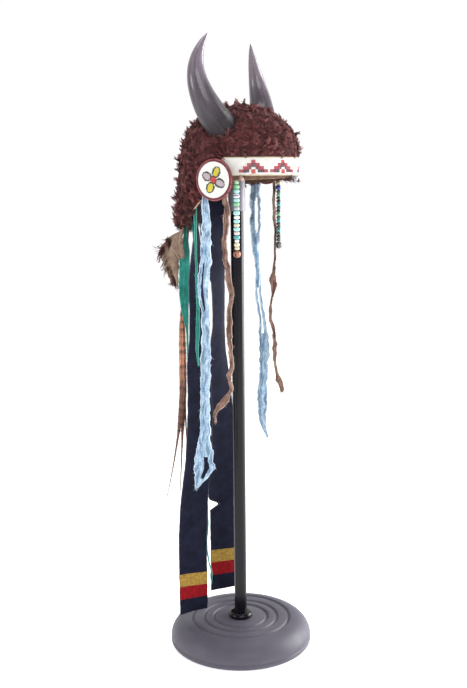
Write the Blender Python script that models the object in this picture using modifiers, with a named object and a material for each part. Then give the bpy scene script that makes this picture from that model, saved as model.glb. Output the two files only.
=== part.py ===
"""A horned fur headdress on its display stand, for Blender 4.5.

Metres, +Z up. The origin is the centre of the base's underside. The headdress faces -Y,
and its wearer's right is -X.
"""
import math

import bmesh
import bpy
from mathutils import Vector

# Clearances between pieces that touch
GAP = 0.0003
FUR_GAP = 0.0008
SEW_GAP = 0.0005
INSIDE_GAP = 0.0009

# Stand
BASE_RADIUS = 0.127
BASE_HEIGHT = 0.044
BASE_RIM_HEIGHT = 0.012
BASE_TOP_RADIUS = 0.0915
GROOVE_RADII = (0.048, 0.066, 0.0875)
GROOVE_WIDTH = 0.007
GROOVE_DEPTH = 0.0016
POLE_RADIUS = 0.0111
POLE_TOP = 0.800
COLLAR_RADIUS = 0.021
COLLAR_HEIGHT = 0.009
SLEEVE_RADIUS = 0.0145
SLEEVE_BOTTOM = 0.778
SLEEVE_TOP = 0.838
ROD_RADIUS = 0.008
REST_RADIUS = 0.042
REST_DEPTH = 0.017

# Hide cap: an oval head form, boxy at the crown, with a neck flap
HEAD_WIDTH = 0.156
HEAD_LENGTH = 0.196
HEAD_SETBACK = -0.008
RIM_Z = 0.836
CROWN_RISE = 0.102
DOME_SQUARENESS = 2.6
HIDE_WALL = 0.0025
FLAP_DROP = 0.086
FLAP_FLARE = 0.065
# The hide's lower edge: the angle from the forehead towards the wearer's right, and the
# drop below the rim as a share of FLAP_DROP
HIDE_EDGE = (
    {"angle": -180, "drop": 1.00},
    {"angle": -165, "drop": 0.94},
    {"angle": -150, "drop": 0.72},
    {"angle": -130, "drop": 0.34},
    {"angle": -110, "drop": 0.14},
    {"angle": -72, "drop": 0.08},
    {"angle": 0, "drop": 0.05},
    {"angle": 72, "drop": 0.08},
    {"angle": 84, "drop": 0.12},
    {"angle": 96, "drop": 0.30},
    {"angle": 112, "drop": 0.50},
    {"angle": 130, "drop": 0.80},
    {"angle": 150, "drop": 0.97},
    {"angle": 180, "drop": 1.00},
)

# Fur coat
FUR_DEPTH = 0.0155
FUR_OVERHANG = 0.005
LOCK_RELIEF = 0.0085
LOCK_LENGTH = 0.021
LOCK_WIDTH = 0.024
LOCK_REACH = 0.015
# Pile depth round the head, a share of FUR_DEPTH on the dome and on the neck flap
FUR_PILE = (
    {"angle": -180, "dome": 0.88, "flap": 1.35},
    {"angle": -130, "dome": 0.88, "flap": 1.15},
    {"angle": -90, "dome": 0.75, "flap": 0.60},
    {"angle": -50, "dome": 0.60, "flap": 0.50},
    {"angle": 0, "dome": 0.48, "flap": 0.50},
    {"angle": 50, "dome": 0.60, "flap": 0.50},
    {"angle": 90, "dome": 0.75, "flap": 0.60},
    {"angle": 130, "dome": 0.88, "flap": 1.15},
    {"angle": 180, "dome": 0.88, "flap": 1.35},
)
CROWN_PILE = 1.22

# Horns: height above the rim, distance out and back as shares of HORN_RISE, and the
# radius as a share of HORN_RADIUS
HORN_RISE = 0.2265
HORN_RADIUS = 0.0250
HORN_SECTIONS = (
    {"rise": 0.300, "out": 0.175, "back": -0.026, "radius": 0.98},
    {"rise": 0.338, "out": 0.258, "back": -0.016, "radius": 1.00},
    {"rise": 0.395, "out": 0.334, "back": 0.002, "radius": 0.98},
    {"rise": 0.468, "out": 0.394, "back": 0.027, "radius": 0.91},
    {"rise": 0.560, "out": 0.434, "back": 0.057, "radius": 0.80},
    {"rise": 0.655, "out": 0.450, "back": 0.085, "radius": 0.68},
    {"rise": 0.750, "out": 0.444, "back": 0.102, "radius": 0.55},
    {"rise": 0.842, "out": 0.414, "back": 0.106, "radius": 0.40},
    {"rise": 0.928, "out": 0.368, "back": 0.098, "radius": 0.23},
    {"rise": 1.004, "out": 0.316, "back": 0.082, "radius": 0.048},
)

# Brow band
BAND_HEIGHT = 0.030
BAND_THICKNESS = 0.0020
BAND_HALF_ANGLE = 84

# Rosettes
ROSETTE_RADIUS = 0.0340
ROSETTE_FACE_RADIUS = 0.0300
ROSETTE_BACKING = 0.0030
ROSETTE_FACE = 0.0022
ROSETTE_PAD = 0.0012
ROSETTE_BED = 0.0052
ROSETTE_Y = -0.010
ROSETTE_RIGHT_Z = 0.830
ROSETTE_LEFT_Z = 0.857

# Bead strings and the bells on their ends
STRING_ANGLE = 70
STRING_THREAD_RADIUS = 0.0012
BELL_RADIUS = 0.0065
# Each bead from the top: its radius and its height along the thread
RIGHT_BEADS = (
    {"radius": 0.0040, "height": 0.0062}, {"radius": 0.0052, "height": 0.0075},
    {"radius": 0.0052, "height": 0.0070}, {"radius": 0.0054, "height": 0.0078},
    {"radius": 0.0052, "height": 0.0066}, {"radius": 0.0052, "height": 0.0068},
    {"radius": 0.0048, "height": 0.0062}, {"radius": 0.0055, "height": 0.0082},
    {"radius": 0.0048, "height": 0.0060}, {"radius": 0.0052, "height": 0.0068},
    {"radius": 0.0048, "height": 0.0060}, {"radius": 0.0052, "height": 0.0070},
    {"radius": 0.0048, "height": 0.0060}, {"radius": 0.0052, "height": 0.0070},
    {"radius": 0.0038, "height": 0.0050}, {"radius": 0.0046, "height": 0.0070},
    {"radius": 0.0040, "height": 0.0052},
)
LEFT_BEADS = (
    {"radius": 0.0050, "height": 0.0074}, {"radius": 0.0052, "height": 0.0086},
) + ({"radius": 0.0042, "height": 0.0056},) * 16
BROW_BELLS = (
    {"name": "brow_bell_right", "angle": 65, "radius": 0.0050},
    {"name": "brow_bell_centre", "angle": 6, "radius": 0.0062},
    {"name": "brow_bell_left", "angle": -65, "radius": 0.0042},
)

# Cloth strips: heights along the strip as shares of its length, sideways and backward
# shifts and widths as shares of its width, and the turn about the vertical in degrees
RIBBON_THICKNESS = 0.0011
RIBBON_TUCK = 0.014
SIDE_RIBBON_LOW_SHIFT = 0.011
BLUE_RIBBON_WIDTH = 0.0190
BLUE_SHIFT = 0.0210
BLUE_RIGHT_LENGTH = 0.5000
BLUE_RIGHT_SECTIONS = (
    {"along": 0.00, "out": 0.00, "back": 0.00, "width": 0.50, "turn": 0},
    {"along": 0.06, "out": 0.05, "back": -0.10, "width": 0.66, "turn": 0},
    {"along": 0.13, "out": 0.10, "back": -0.12, "width": 0.88, "turn": 5},
    {"along": 0.20, "out": 0.15, "back": -0.10, "width": 0.94, "turn": -4},
    {"along": 0.26, "out": 0.20, "back": 0.02, "width": 1.08, "turn": 3},
    {"along": 0.32, "out": 0.25, "back": 0.12, "width": 1.08, "turn": 0},
    {"along": 0.38, "out": 0.30, "back": -0.05, "width": 0.80, "turn": -8},
    {"along": 0.46, "out": 0.35, "back": -0.12, "width": 0.84, "turn": 8},
    {"along": 0.56, "out": 0.42, "back": -0.08, "width": 0.88, "turn": -6},
    {"along": 0.69, "out": 0.50, "back": 0.00, "width": 0.92, "turn": 6},
    {"along": 0.82, "out": 0.56, "back": 0.05, "width": 1.08, "turn": 0},
    {"along": 0.875, "out": 0.60, "back": 0.10, "width": 1.72, "turn": -6},
    {"along": 0.93, "out": 0.62, "back": 0.15, "width": 1.76, "turn": 0},
    {"along": 0.97, "out": 0.64, "back": 0.55, "width": 0.95, "turn": 0},
    {"along": 1.00, "out": 0.66, "back": 0.95, "width": 0.28, "turn": 0},
)
BLUE_LEFT_LENGTH = 0.4790
BLUE_LEFT_SECTIONS = (
    {"along": 0.00, "out": 0.00, "back": 0.00, "width": 0.80, "turn": 0},
    {"along": 0.122, "out": 0.02, "back": 0.05, "width": 1.02, "turn": 6},
    {"along": 0.188, "out": 0.05, "back": 0.06, "width": 0.98, "turn": 20},
    {"along": 0.264, "out": 0.08, "back": 0.04, "width": 0.72, "turn": 38},
    {"along": 0.349, "out": 0.12, "back": -0.16, "width": 0.58, "turn": 50},
    {"along": 0.443, "out": 0.18, "back": -0.18, "width": 0.64, "turn": 40},
    {"along": 0.528, "out": 0.22, "back": -0.50, "width": 0.62, "turn": 20},
    {"along": 0.585, "out": 0.25, "back": -0.58, "width": 0.98, "turn": 4},
    {"along": 0.651, "out": 0.28, "back": -0.66, "width": 1.20, "turn": 0},
    {"along": 0.726, "out": 0.33, "back": -0.62, "width": 0.98, "turn": -6},
    {"along": 0.802, "out": 0.37, "back": -0.42, "width": 0.98, "turn": 6},
    {"along": 0.858, "out": 0.40, "back": -0.35, "width": 1.10, "turn": 0},
    {"along": 0.915, "out": 0.42, "back": -0.28, "width": 0.98, "turn": -8},
    {"along": 0.962, "out": 0.44, "back": -0.55, "width": 0.55, "turn": 0},
    {"along": 1.00, "out": 0.46, "back": -0.96, "width": 0.26, "turn": 0},
)
TAN_RIBBON_WIDTH = 0.0110
TAN_SHIFT = -0.0165
TAN_RIGHT_LENGTH = 0.3840
TAN_RIGHT_SECTIONS = (
    {"along": 0.00, "out": 0.00, "back": 0.00, "width": 0.80, "turn": 0},
    {"along": 0.09, "out": -0.05, "back": -0.15, "width": 0.94, "turn": 0},
    {"along": 0.20, "out": -0.08, "back": 0.32, "width": 0.94, "turn": 25},
    {"along": 0.27, "out": -0.10, "back": 0.18, "width": 1.02, "turn": 10},
    {"along": 0.35, "out": -0.14, "back": -0.28, "width": 0.86, "turn": -20},
    {"along": 0.42, "out": -0.16, "back": -0.76, "width": 1.04, "turn": 0},
    {"along": 0.49, "out": -0.18, "back": -0.46, "width": 0.86, "turn": 25},
    {"along": 0.56, "out": -0.20, "back": -0.33, "width": 1.02, "turn": 0},
    {"along": 0.65, "out": -0.22, "back": -0.45, "width": 0.70, "turn": -20},
    {"along": 0.73, "out": -0.25, "back": -0.58, "width": 0.72, "turn": 0},
    {"along": 0.79, "out": -0.27, "back": -0.20, "width": 1.04, "turn": 20},
    {"along": 0.84, "out": -0.28, "back": -0.50, "width": 0.62, "turn": 30},
    {"along": 0.90, "out": -0.30, "back": 0.76, "width": 1.40, "turn": 0},
    {"along": 0.935, "out": -0.30, "back": 1.85, "width": 1.25, "turn": 0},
    {"along": 0.97, "out": -0.32, "back": 2.40, "width": 0.46, "turn": 0},
    {"along": 1.00, "out": -0.33, "back": 2.25, "width": 0.26, "turn": 0},
)
TAN_LEFT_LENGTH = 0.3870
TAN_LEFT_SECTIONS = (
    {"along": 0.00, "out": 0.00, "back": 0.00, "width": 0.46, "turn": 0},
    {"along": 0.163, "out": -0.04, "back": 0.08, "width": 0.48, "turn": 15},
    {"along": 0.247, "out": -0.08, "back": -0.22, "width": 0.46, "turn": 0},
    {"along": 0.340, "out": -0.14, "back": -0.22, "width": 0.40, "turn": -20},
    {"along": 0.405, "out": -0.18, "back": -0.06, "width": 0.42, "turn": 0},
    {"along": 0.479, "out": -0.20, "back": 0.20, "width": 1.06, "turn": 15},
    {"along": 0.553, "out": -0.24, "back": 0.28, "width": 0.40, "turn": 0},
    {"along": 0.647, "out": -0.28, "back": 0.68, "width": 0.64, "turn": -20},
    {"along": 0.721, "out": -0.32, "back": -0.02, "width": 0.62, "turn": 0},
    {"along": 0.823, "out": -0.36, "back": -0.14, "width": 0.64, "turn": 20},
    {"along": 0.888, "out": -0.40, "back": -0.34, "width": 0.46, "turn": 0},
    {"along": 0.949, "out": -0.42, "back": -0.90, "width": 1.14, "turn": 0},
    {"along": 1.00, "out": -0.46, "back": -1.50, "width": 0.50, "turn": 0},
)
TEAL_WIDTH = 0.0175
TEAL_TOP_DROP = 0.046
TEAL_BACK_DROP = 0.066
TEAL_BACK_LENGTH = 0.2450
TEAL_BACK_SECTIONS = (
    {"along": 0.00, "out": 0.00, "back": 0.00, "width": 0.60, "turn": 56},
    {"along": 0.11, "out": 0.00, "back": 0.00, "width": 0.68, "turn": 52},
    {"along": 0.28, "out": 0.02, "back": 0.20, "width": 0.92, "turn": 20},
    {"along": 0.42, "out": 0.04, "back": 0.28, "width": 0.90, "turn": 4},
    {"along": 0.56, "out": 0.04, "back": 0.34, "width": 0.86, "turn": -6},
    {"along": 0.69, "out": 0.02, "back": 0.22, "width": 0.80, "turn": 4},
    {"along": 0.82, "out": 0.00, "back": 0.00, "width": 0.36, "turn": 16},
    {"along": 1.00, "out": -0.02, "back": 0.02, "width": 0.18, "turn": 20},
)
TEAL_SIDE_LENGTH = 0.2700
TEAL_SIDE_SECTIONS = (
    {"along": 0.00, "out": 0.00, "back": 0.00, "width": 0.50, "turn": 20},
    {"along": 0.30, "out": 0.00, "back": -0.05, "width": 0.30, "turn": 20},
    {"along": 0.50, "out": 0.02, "back": -0.12, "width": 0.42, "turn": 30},
    {"along": 0.66, "out": 0.02, "back": -0.22, "width": 0.62, "turn": 30},
    {"along": 0.80, "out": -0.02, "back": -0.10, "width": 0.60, "turn": 20},
    {"along": 0.92, "out": -0.08, "back": 0.02, "width": 0.50, "turn": 30},
    {"along": 1.00, "out": -0.10, "back": -0.10, "width": 0.25, "turn": 30},
)
TEAL_LONG_LENGTH = 0.7000
TEAL_LONG_SECTIONS = (
    {"along": 0.00, "out": 0.00, "back": 0.00, "width": 0.50, "turn": 90},
    {"along": 0.12, "out": 0.00, "back": -0.45, "width": 0.50, "turn": 80},
    {"along": 0.30, "out": 0.00, "back": -1.10, "width": 0.55, "turn": 60},
    {"along": 0.50, "out": 0.00, "back": -1.10, "width": 0.50, "turn": 50},
    {"along": 0.70, "out": -0.08, "back": -1.00, "width": 0.45, "turn": 40},
    {"along": 0.78, "out": -0.12, "back": -0.98, "width": 0.56, "turn": 30},
    {"along": 0.83, "out": -0.06, "back": -1.00, "width": 0.70, "turn": 30},
    {"along": 0.88, "out": 0.00, "back": -1.00, "width": 0.50, "turn": 40},
    {"along": 0.93, "out": -0.40, "back": -1.05, "width": 0.20, "turn": 30},
    {"along": 0.97, "out": -0.95, "back": -1.08, "width": 0.20, "turn": 30},
    {"along": 0.985, "out": -1.00, "back": -1.08, "width": 0.42, "turn": 30},
    {"along": 1.00, "out": -1.02, "back": -1.08, "width": 0.20, "turn": 30},
)

# Trailers: two long strips of wool cloth that hang from inside the nape
TRAILER_WIDTH = 0.0520
TRAILER_THICKNESS = 0.0020
TRAILER_TOP = 0.815
TRAILER_ANGLE = 151
TRAILER_RIGHT_LENGTH = 0.7640
TRAILER_LEFT_LENGTH = 0.7550
TRAILER_CUP = 0.0036
TRAILER_RIGHT_SECTIONS = (
    {"along": 0.00, "out": 0.72, "back": 0.00, "turn": -35, "cup": 1.5},
    {"along": 0.06, "out": 0.70, "back": -0.09, "turn": -28, "cup": 1.3},
    {"along": 0.12, "out": 0.71, "back": -0.13, "turn": -14, "cup": 0.0},
    {"along": 0.20, "out": 0.73, "back": -0.22, "turn": 6, "cup": -1.6},
    {"along": 0.30, "out": 0.76, "back": -0.35, "turn": 18, "cup": -1.8},
    {"along": 0.38, "out": 0.79, "back": -0.36, "turn": 22, "cup": -1.2},
    {"along": 0.47, "out": 0.82, "back": -0.40, "turn": 23, "cup": -0.4},
    {"along": 0.56, "out": 0.85, "back": -0.38, "turn": 26, "cup": 0.4},
    {"along": 0.64, "out": 0.90, "back": -0.33, "turn": 31, "cup": 0.9},
    {"along": 0.72, "out": 0.98, "back": -0.24, "turn": 37, "cup": 0.7},
    {"along": 0.80, "out": 1.03, "back": -0.21, "turn": 41, "cup": 0.4},
    {"along": 0.88, "out": 1.05, "back": -0.21, "turn": 42, "cup": 0.3},
    {"along": 1.00, "out": 1.05, "back": -0.21, "turn": 41, "cup": 0.2},
)
TRAILER_LEFT_SECTIONS = (
    {"along": 0.00, "out": 0.72, "back": 0.00, "turn": 35, "cup": 1.5},
    {"along": 0.06, "out": 0.71, "back": -0.06, "turn": 26, "cup": 1.3},
    {"along": 0.12, "out": 0.70, "back": -0.04, "turn": 12, "cup": 0.4},
    {"along": 0.20, "out": 0.74, "back": -0.14, "turn": 8, "cup": -0.6},
    {"along": 0.30, "out": 0.77, "back": -0.28, "turn": 3, "cup": -0.9},
    {"along": 0.38, "out": 0.80, "back": -0.30, "turn": 5, "cup": -0.6},
    {"along": 0.47, "out": 0.86, "back": -0.30, "turn": 10, "cup": 0.2},
    {"along": 0.56, "out": 0.91, "back": -0.29, "turn": 18, "cup": 0.6},
    {"along": 0.64, "out": 0.96, "back": -0.26, "turn": 27, "cup": 0.8},
    {"along": 0.72, "out": 1.00, "back": -0.23, "turn": 34, "cup": 0.5},
    {"along": 0.80, "out": 1.03, "back": -0.21, "turn": 40, "cup": 0.2},
    {"along": 0.88, "out": 1.05, "back": -0.21, "turn": 42, "cup": 0.1},
    {"along": 1.00, "out": 1.05, "back": -0.21, "turn": 42, "cup": 0.1},
)

# Hide tail and tab that hang from the neck flap's corner
TAIL_LENGTH = 0.1020
TAIL_WIDTH = 0.0330
TAIL_THICKNESS = 0.0030
TAIL_ANGLE = 166
TAIL_REACH = 9
TAIL_SECTIONS = (
    {"along": 0.00, "out": 0.00, "back": 0.00, "width": 0.42, "turn": 72},
    {"along": 0.08, "out": 0.06, "back": 0.22, "width": 0.52, "turn": 56},
    {"along": 0.20, "out": 0.14, "back": 0.66, "width": 0.70, "turn": 20},
    {"along": 0.36, "out": 0.18, "back": 0.88, "width": 1.05, "turn": -4},
    {"along": 0.48, "out": 0.20, "back": 0.84, "width": 1.14, "turn": -14},
    {"along": 0.58, "out": 0.18, "back": 0.72, "width": 0.92, "turn": -22},
    {"along": 0.72, "out": 0.16, "back": 0.66, "width": 0.70, "turn": -18},
    {"along": 0.88, "out": 0.14, "back": 0.58, "width": 0.50, "turn": -8},
    {"along": 1.00, "out": 0.14, "back": 0.46, "width": 0.22, "turn": 0},
)
TAB_LENGTH = 0.0540
TAB_WIDTH = 0.0220
TAB_ANGLE = 148
TAB_REACH = 4
TAB_SECTIONS = (
    {"along": 0.00, "out": 0.00, "back": 0.00, "width": 0.55, "turn": 54},
    {"along": 0.12, "out": 0.08, "back": 0.06, "width": 0.70, "turn": 44},
    {"along": 0.35, "out": 0.20, "back": 0.28, "width": 1.08, "turn": 14},
    {"along": 0.70, "out": 0.26, "back": 0.22, "width": 0.88, "turn": 0},
    {"along": 1.00, "out": 0.24, "back": 0.12, "width": 0.50, "turn": -8},
)

# Tail feathers
FEATHER_LENGTH = 0.5050
FEATHER_WIDTH = 0.0150
FEATHER_THICKNESS = 0.0016
FEATHER_ANGLE = 170
FEATHER_ANGLE_STEP = 3
FEATHER_KICK = 0.018
FEATHER_SECTIONS = (
    {"along": 0.00, "width": 0.14, "sweep": 0.00},
    {"along": 0.16, "width": 0.16, "sweep": 0.18},
    {"along": 0.30, "width": 0.34, "sweep": 0.34},
    {"along": 0.38, "width": 0.70, "sweep": 0.42},
    {"along": 0.48, "width": 0.90, "sweep": 0.50},
    {"along": 0.60, "width": 0.98, "sweep": 0.58},
    {"along": 0.70, "width": 0.80, "sweep": 0.66},
    {"along": 0.76, "width": 0.42, "sweep": 0.74},
    {"along": 0.84, "width": 0.26, "sweep": 0.84},
    {"along": 0.92, "width": 0.17, "sweep": 0.92},
    {"along": 1.00, "width": 0.09, "sweep": 1.00},
)
# Each feather: its length and its backward sweep as shares of FEATHER_LENGTH
FEATHERS = (
    {"name": "feather_outer", "length": 1.00, "sweep": 0.074},
    {"name": "feather_middle", "length": 0.995, "sweep": 0.022},
    {"name": "feather_inner", "length": 0.83, "sweep": -0.010},
)

# Facets
COLUMNS = 60
HIDE_COLUMNS = 30
ROUND_STEPS = 36
BEAD_SIDES = 10
HORN_SIDES = 14
COLUMN_TURN = 360 // COLUMNS
# Rows of facets from the lower edge, -1, through the rim, 0, towards the crown, 1
DOME_PLACES = (-1.0, -0.62, -0.27, 0.0, 0.15, 0.29, 0.43, 0.57, 0.71, 0.86)


def clear_scene():
    """Remove what a new file holds."""
    for item in list(bpy.data.objects):
        bpy.data.objects.remove(item, do_unlink=True)


def make_collection(name):
    """Add a collection to the scene."""
    collection = bpy.data.collections.new(name)
    bpy.context.scene.collection.children.link(collection)
    return collection


def make_material(name, colour, roughness, metallic=0.0):
    """Make a plain Principled material."""
    material = bpy.data.materials.new(name)
    material.use_nodes = True
    shader = material.node_tree.nodes["Principled BSDF"]
    shader.inputs["Base Color"].default_value = (*colour, 1.0)
    shader.inputs["Roughness"].default_value = roughness
    shader.inputs["Metallic"].default_value = metallic
    material.diffuse_color = (*colour, 1.0)
    return material


def add_mesh(name, points, faces, material, collection):
    """Make an object from points and faces, with its faces turned outwards."""
    mesh = bpy.data.meshes.new(name)
    mesh.from_pydata([tuple(point) for point in points], [], faces)
    body = bmesh.new()
    body.from_mesh(mesh)
    bmesh.ops.recalc_face_normals(body, faces=body.faces)
    body.to_mesh(mesh)
    body.free()
    mesh.shade_smooth()
    mesh.set_sharp_from_angle(angle=math.radians(40))
    item = bpy.data.objects.new(name, mesh)
    if material is not None:
        mesh.materials.append(material)
    collection.objects.link(item)
    return item


def add_turned(name, profile, steps, material, collection):
    """Turn a profile of (radius, height) pairs about the Z axis with a Screw modifier.

    A profile that starts and ends on the axis makes a solid, a closed one makes a ring.
    """
    is_ring = profile[0] == profile[-1]
    points = profile[:-1] if is_ring else profile
    mesh = bpy.data.meshes.new(name)
    edges = [(i, i + 1) for i in range(len(points) - 1)]
    if is_ring:
        edges.append((len(points) - 1, 0))
    mesh.from_pydata([(radius, 0.0, height) for radius, height in points], edges, [])
    mesh.materials.append(material)
    item = bpy.data.objects.new(name, mesh)
    collection.objects.link(item)
    screw = item.modifiers.new("turn", "SCREW")
    screw.steps = steps
    screw.render_steps = steps
    screw.use_merge_vertices = True
    screw.merge_threshold = 0.00001
    screw.use_smooth_shade = True
    return item


def loft(name, rings, material, collection):
    """Join rings of equal count into one closed body with flat ends.

    The second half of each ring mirrors the first, so both walls of a twisted strip fold the same way.
    """
    count = len(rings[0])
    points = [point for ring in rings for point in ring]
    faces = [tuple(range(count)), tuple(range(len(points) - count, len(points)))]
    for row in range(len(rings) - 1):
        for side in range(count):
            first, second = row * count + side, row * count + (side + 1) % count
            if side < count // 2:
                faces.append((first, second, second + count))
                faces.append((first, second + count, first + count))
            else:
                faces.append((first, second, first + count))
                faces.append((second, second + count, first + count))
    return add_mesh(name, points, faces, material, collection)


def add_difference(item, cutter):
    """Cut one object by another."""
    cut = item.modifiers.new("cut", "BOOLEAN")
    cut.operation = "DIFFERENCE"
    cut.object = cutter
    cutter.hide_render = True
    cutter.display_type = "WIRE"


def read_table(table, key, column, value):
    """Read a column of a table at a value of its key column, by straight lines."""
    if value <= table[0][key]:
        return table[0][column]
    for low, high in zip(table, table[1:]):
        if value <= high[key]:
            share = (value - low[key]) / (high[key] - low[key])
            return low[column] + share * (high[column] - low[column])
    return table[-1][column]


def wrap_angle(angle):
    """Bring an angle in degrees to between -180 and 180."""
    return (angle + 180.0) % 360.0 - 180.0


def hide_drop(angle):
    """How far the hide's lower edge lies below the rim."""
    return FLAP_DROP * read_table(HIDE_EDGE, "angle", "drop", wrap_angle(angle))


def head_point(angle, place, offset, drop):
    """A point on the head form.

    place runs from -1 at the lower edge, through 0 at the rim, to 1 at the crown. offset is
    the distance out from the inner face of the hide.
    """
    half_width = HEAD_WIDTH / 2 + offset
    half_length = HEAD_LENGTH / 2 + offset
    turn = math.radians(angle)
    if place >= 0.0:
        climb = place * math.pi / 2
        spread = max(math.cos(climb), 0.0) ** (2 / DOME_SQUARENESS)
        height = RIM_Z + (CROWN_RISE + offset) * math.sin(climb) ** (2 / DOME_SQUARENESS)
    else:
        back = max(0.0, -math.cos(turn))
        spread = 1.0 + FLAP_FLARE * back * (-place * drop / FLAP_DROP)
        height = RIM_Z + place * drop
    return Vector((-half_width * spread * math.sin(turn),
                   HEAD_SETBACK - half_length * spread * math.cos(turn), height))


def place_at_height(height, offset):
    """The place on the dome that lies at a height."""
    share = (height - RIM_Z) / (CROWN_RISE + offset)
    return math.asin(min(1.0, share ** (DOME_SQUARENESS / 2))) / (math.pi / 2)


def wall_point(angle, height, offset):
    """A point on the cap's wall below or above the rim, at a height."""
    if height >= RIM_Z:
        return head_point(angle, place_at_height(height, offset), offset, FLAP_DROP)
    return head_point(angle, (height - RIM_Z) / FLAP_DROP, offset, FLAP_DROP)


def shell(name, outer, inner, material, collection):
    """Join two open domes of rings, each with its own pole, along their lower rings."""
    count = len(outer[0])
    points = []
    faces = []
    for dome in (outer, inner):
        start = len(points)
        for ring in dome[:-1]:
            points.extend(ring)
        pole = len(points)
        points.append(dome[-1])
        for row in range(len(dome) - 2):
            for side in range(count):
                near = start + row * count
                following = (side + 1) % count
                faces.append((near + side, near + following, near + count + following, near + count + side))
        last = pole - count
        for side in range(count):
            faces.append((last + side, last + (side + 1) % count, pole))
    low_outer = 0
    low_inner = len([p for ring in outer[:-1] for p in ring]) + 1
    for side in range(count):
        following = (side + 1) % count
        faces.append((low_outer + side, low_outer + following, low_inner + following, low_inner + side))
    return add_mesh(name, points, faces, material, collection)


def hide_dome(offset):
    """The rings of one face of the hide, with its pole last."""
    step = 360 / HIDE_COLUMNS
    rings = []
    for place in DOME_PLACES:
        rings.append([head_point(i * step, place, offset, hide_drop(i * step)) for i in range(HIDE_COLUMNS)])
    rings.append(head_point(0, 1.0, offset, 0.0))
    return rings


def build_hide_cap(material, collection):
    """The hide: a thin hollow cap with a neck flap."""
    return shell("hide_cap", hide_dome(HIDE_WALL), hide_dome(0.0), material, collection)


def coat_low_place(angle):
    """Where the fur starts: over the band in front, and at the hide's edge elsewhere."""
    over_band = place_at_height(RIM_Z + BAND_HEIGHT + FUR_GAP, HIDE_WALL)
    past_band = (abs(wrap_angle(angle)) - BAND_HALF_ANGLE) / (2 * COLUMN_TURN)
    return over_band - (1.0 + over_band) * max(0.0, min(1.0, past_band))


def coat_place(angle, level):
    """The place of a row of the fur: rows above the band are the hide's own."""
    low = coat_low_place(angle)
    shared = DOME_PLACES[4]
    if level >= shared:
        return level
    return low + (shared - low) * (level + 1.0) / (shared + 1.0)


def rosette_height(side):
    """The height of the rosette on one side of the head, which is the right where side is negative."""
    return ROSETTE_RIGHT_Z if side < 0 else ROSETTE_LEFT_Z


def near_rosette(angle, height):
    """1 under a rosette's middle, falling to 0 just outside it."""
    point = wall_point(angle, height, HIDE_WALL)
    away = math.hypot(point.y - ROSETTE_Y, point.z - rosette_height(point.x)) / ROSETTE_RADIUS
    if abs(point.x) < HEAD_WIDTH / 4:
        return 0.0
    return max(0.0, min(1.0, (1.45 - away) / 0.25))


def lock_tips():
    """The tips of the wool's locks, in staggered tiers up the head form."""
    tips = []
    tiers = int((CROWN_RISE + HEAD_WIDTH / 2 + FLAP_DROP) / LOCK_LENGTH)
    for tier in range(tiers):
        place = -0.9 + 1.9 * tier / (tiers - 1)
        ring = [head_point(a, place, HIDE_WALL + FUR_DEPTH, FLAP_DROP) for a in (0, 90)]
        middle = Vector((0.0, HEAD_SETBACK, ring[0].z))
        around = math.pi * ((ring[0] - middle).length + (ring[1] - middle).length)
        count = max(1, round(around / LOCK_WIDTH))
        for i in range(count):
            angle = 360 * (i + 0.5 * (tier % 2)) / count + 7 * math.sin(5.3 * i + 2.1 * tier)
            lift = 0.035 * math.sin(3.7 * i + 1.3 * tier)
            tips.append(head_point(angle, min(1.0, place + lift), HIDE_WALL + FUR_DEPTH, FLAP_DROP))
    return tips


def fur_relief(point, tips):
    """The relief of overlapping locks, from 0 between them to 1 at a tip."""
    near = min((point - tip).length for tip in tips)
    return max(0.0, 1.0 - (near / LOCK_REACH) ** 2)


def coat_offset(angle, place, share, tips):
    """The outer face of the fur, as a distance out from the hide's inner face."""
    wrapped = wrap_angle(angle)
    dome = read_table(FUR_PILE, "angle", "dome", wrapped)
    flap = read_table(FUR_PILE, "angle", "flap", wrapped)
    if place >= 0.0:
        pile = dome + (CROWN_PILE - dome) * place ** 3
    else:
        pile = dome + (flap - dome) * min(1.0, -place * 1.6)
    edge = min(1.0, 0.45 + share * 4.4)
    drop = hide_drop(angle)
    relief = fur_relief(head_point(angle, place, HIDE_WALL + FUR_DEPTH, drop), tips)
    depth = FUR_DEPTH * pile * edge + LOCK_RELIEF * (relief - 0.5)
    height = head_point(angle, place, HIDE_WALL, drop).z
    bed = near_rosette(angle, height)
    depth = depth + (ROSETTE_BED - depth) * bed
    return HIDE_WALL + FUR_GAP + depth


def build_fur_coat(material, collection):
    """The wool: overlapping locks fused to a backing that follows the hide."""
    step = 360 / COLUMNS
    tips = lock_tips()
    outer = []
    inner = []
    for level in DOME_PLACES:
        share = (level + 1.0) / 2.0
        outer_ring = []
        inner_ring = []
        for column in range(COLUMNS):
            angle = column * step
            place = coat_place(angle, level)
            drop = hide_drop(angle)
            offset = coat_offset(angle, place, share, tips)
            outer_ring.append(head_point(angle, place, offset, drop + FUR_OVERHANG))
            inner_ring.append(head_point(angle, place, HIDE_WALL + FUR_GAP, drop))
        outer.append(outer_ring)
        inner.append(inner_ring)
    outer.append(head_point(0, 1.0, HIDE_WALL + FUR_DEPTH * CROWN_PILE, 0.0))
    inner.append(head_point(0, 1.0, HIDE_WALL + FUR_GAP, 0.0))
    return shell("fur_coat", outer, inner, material, collection)


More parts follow.
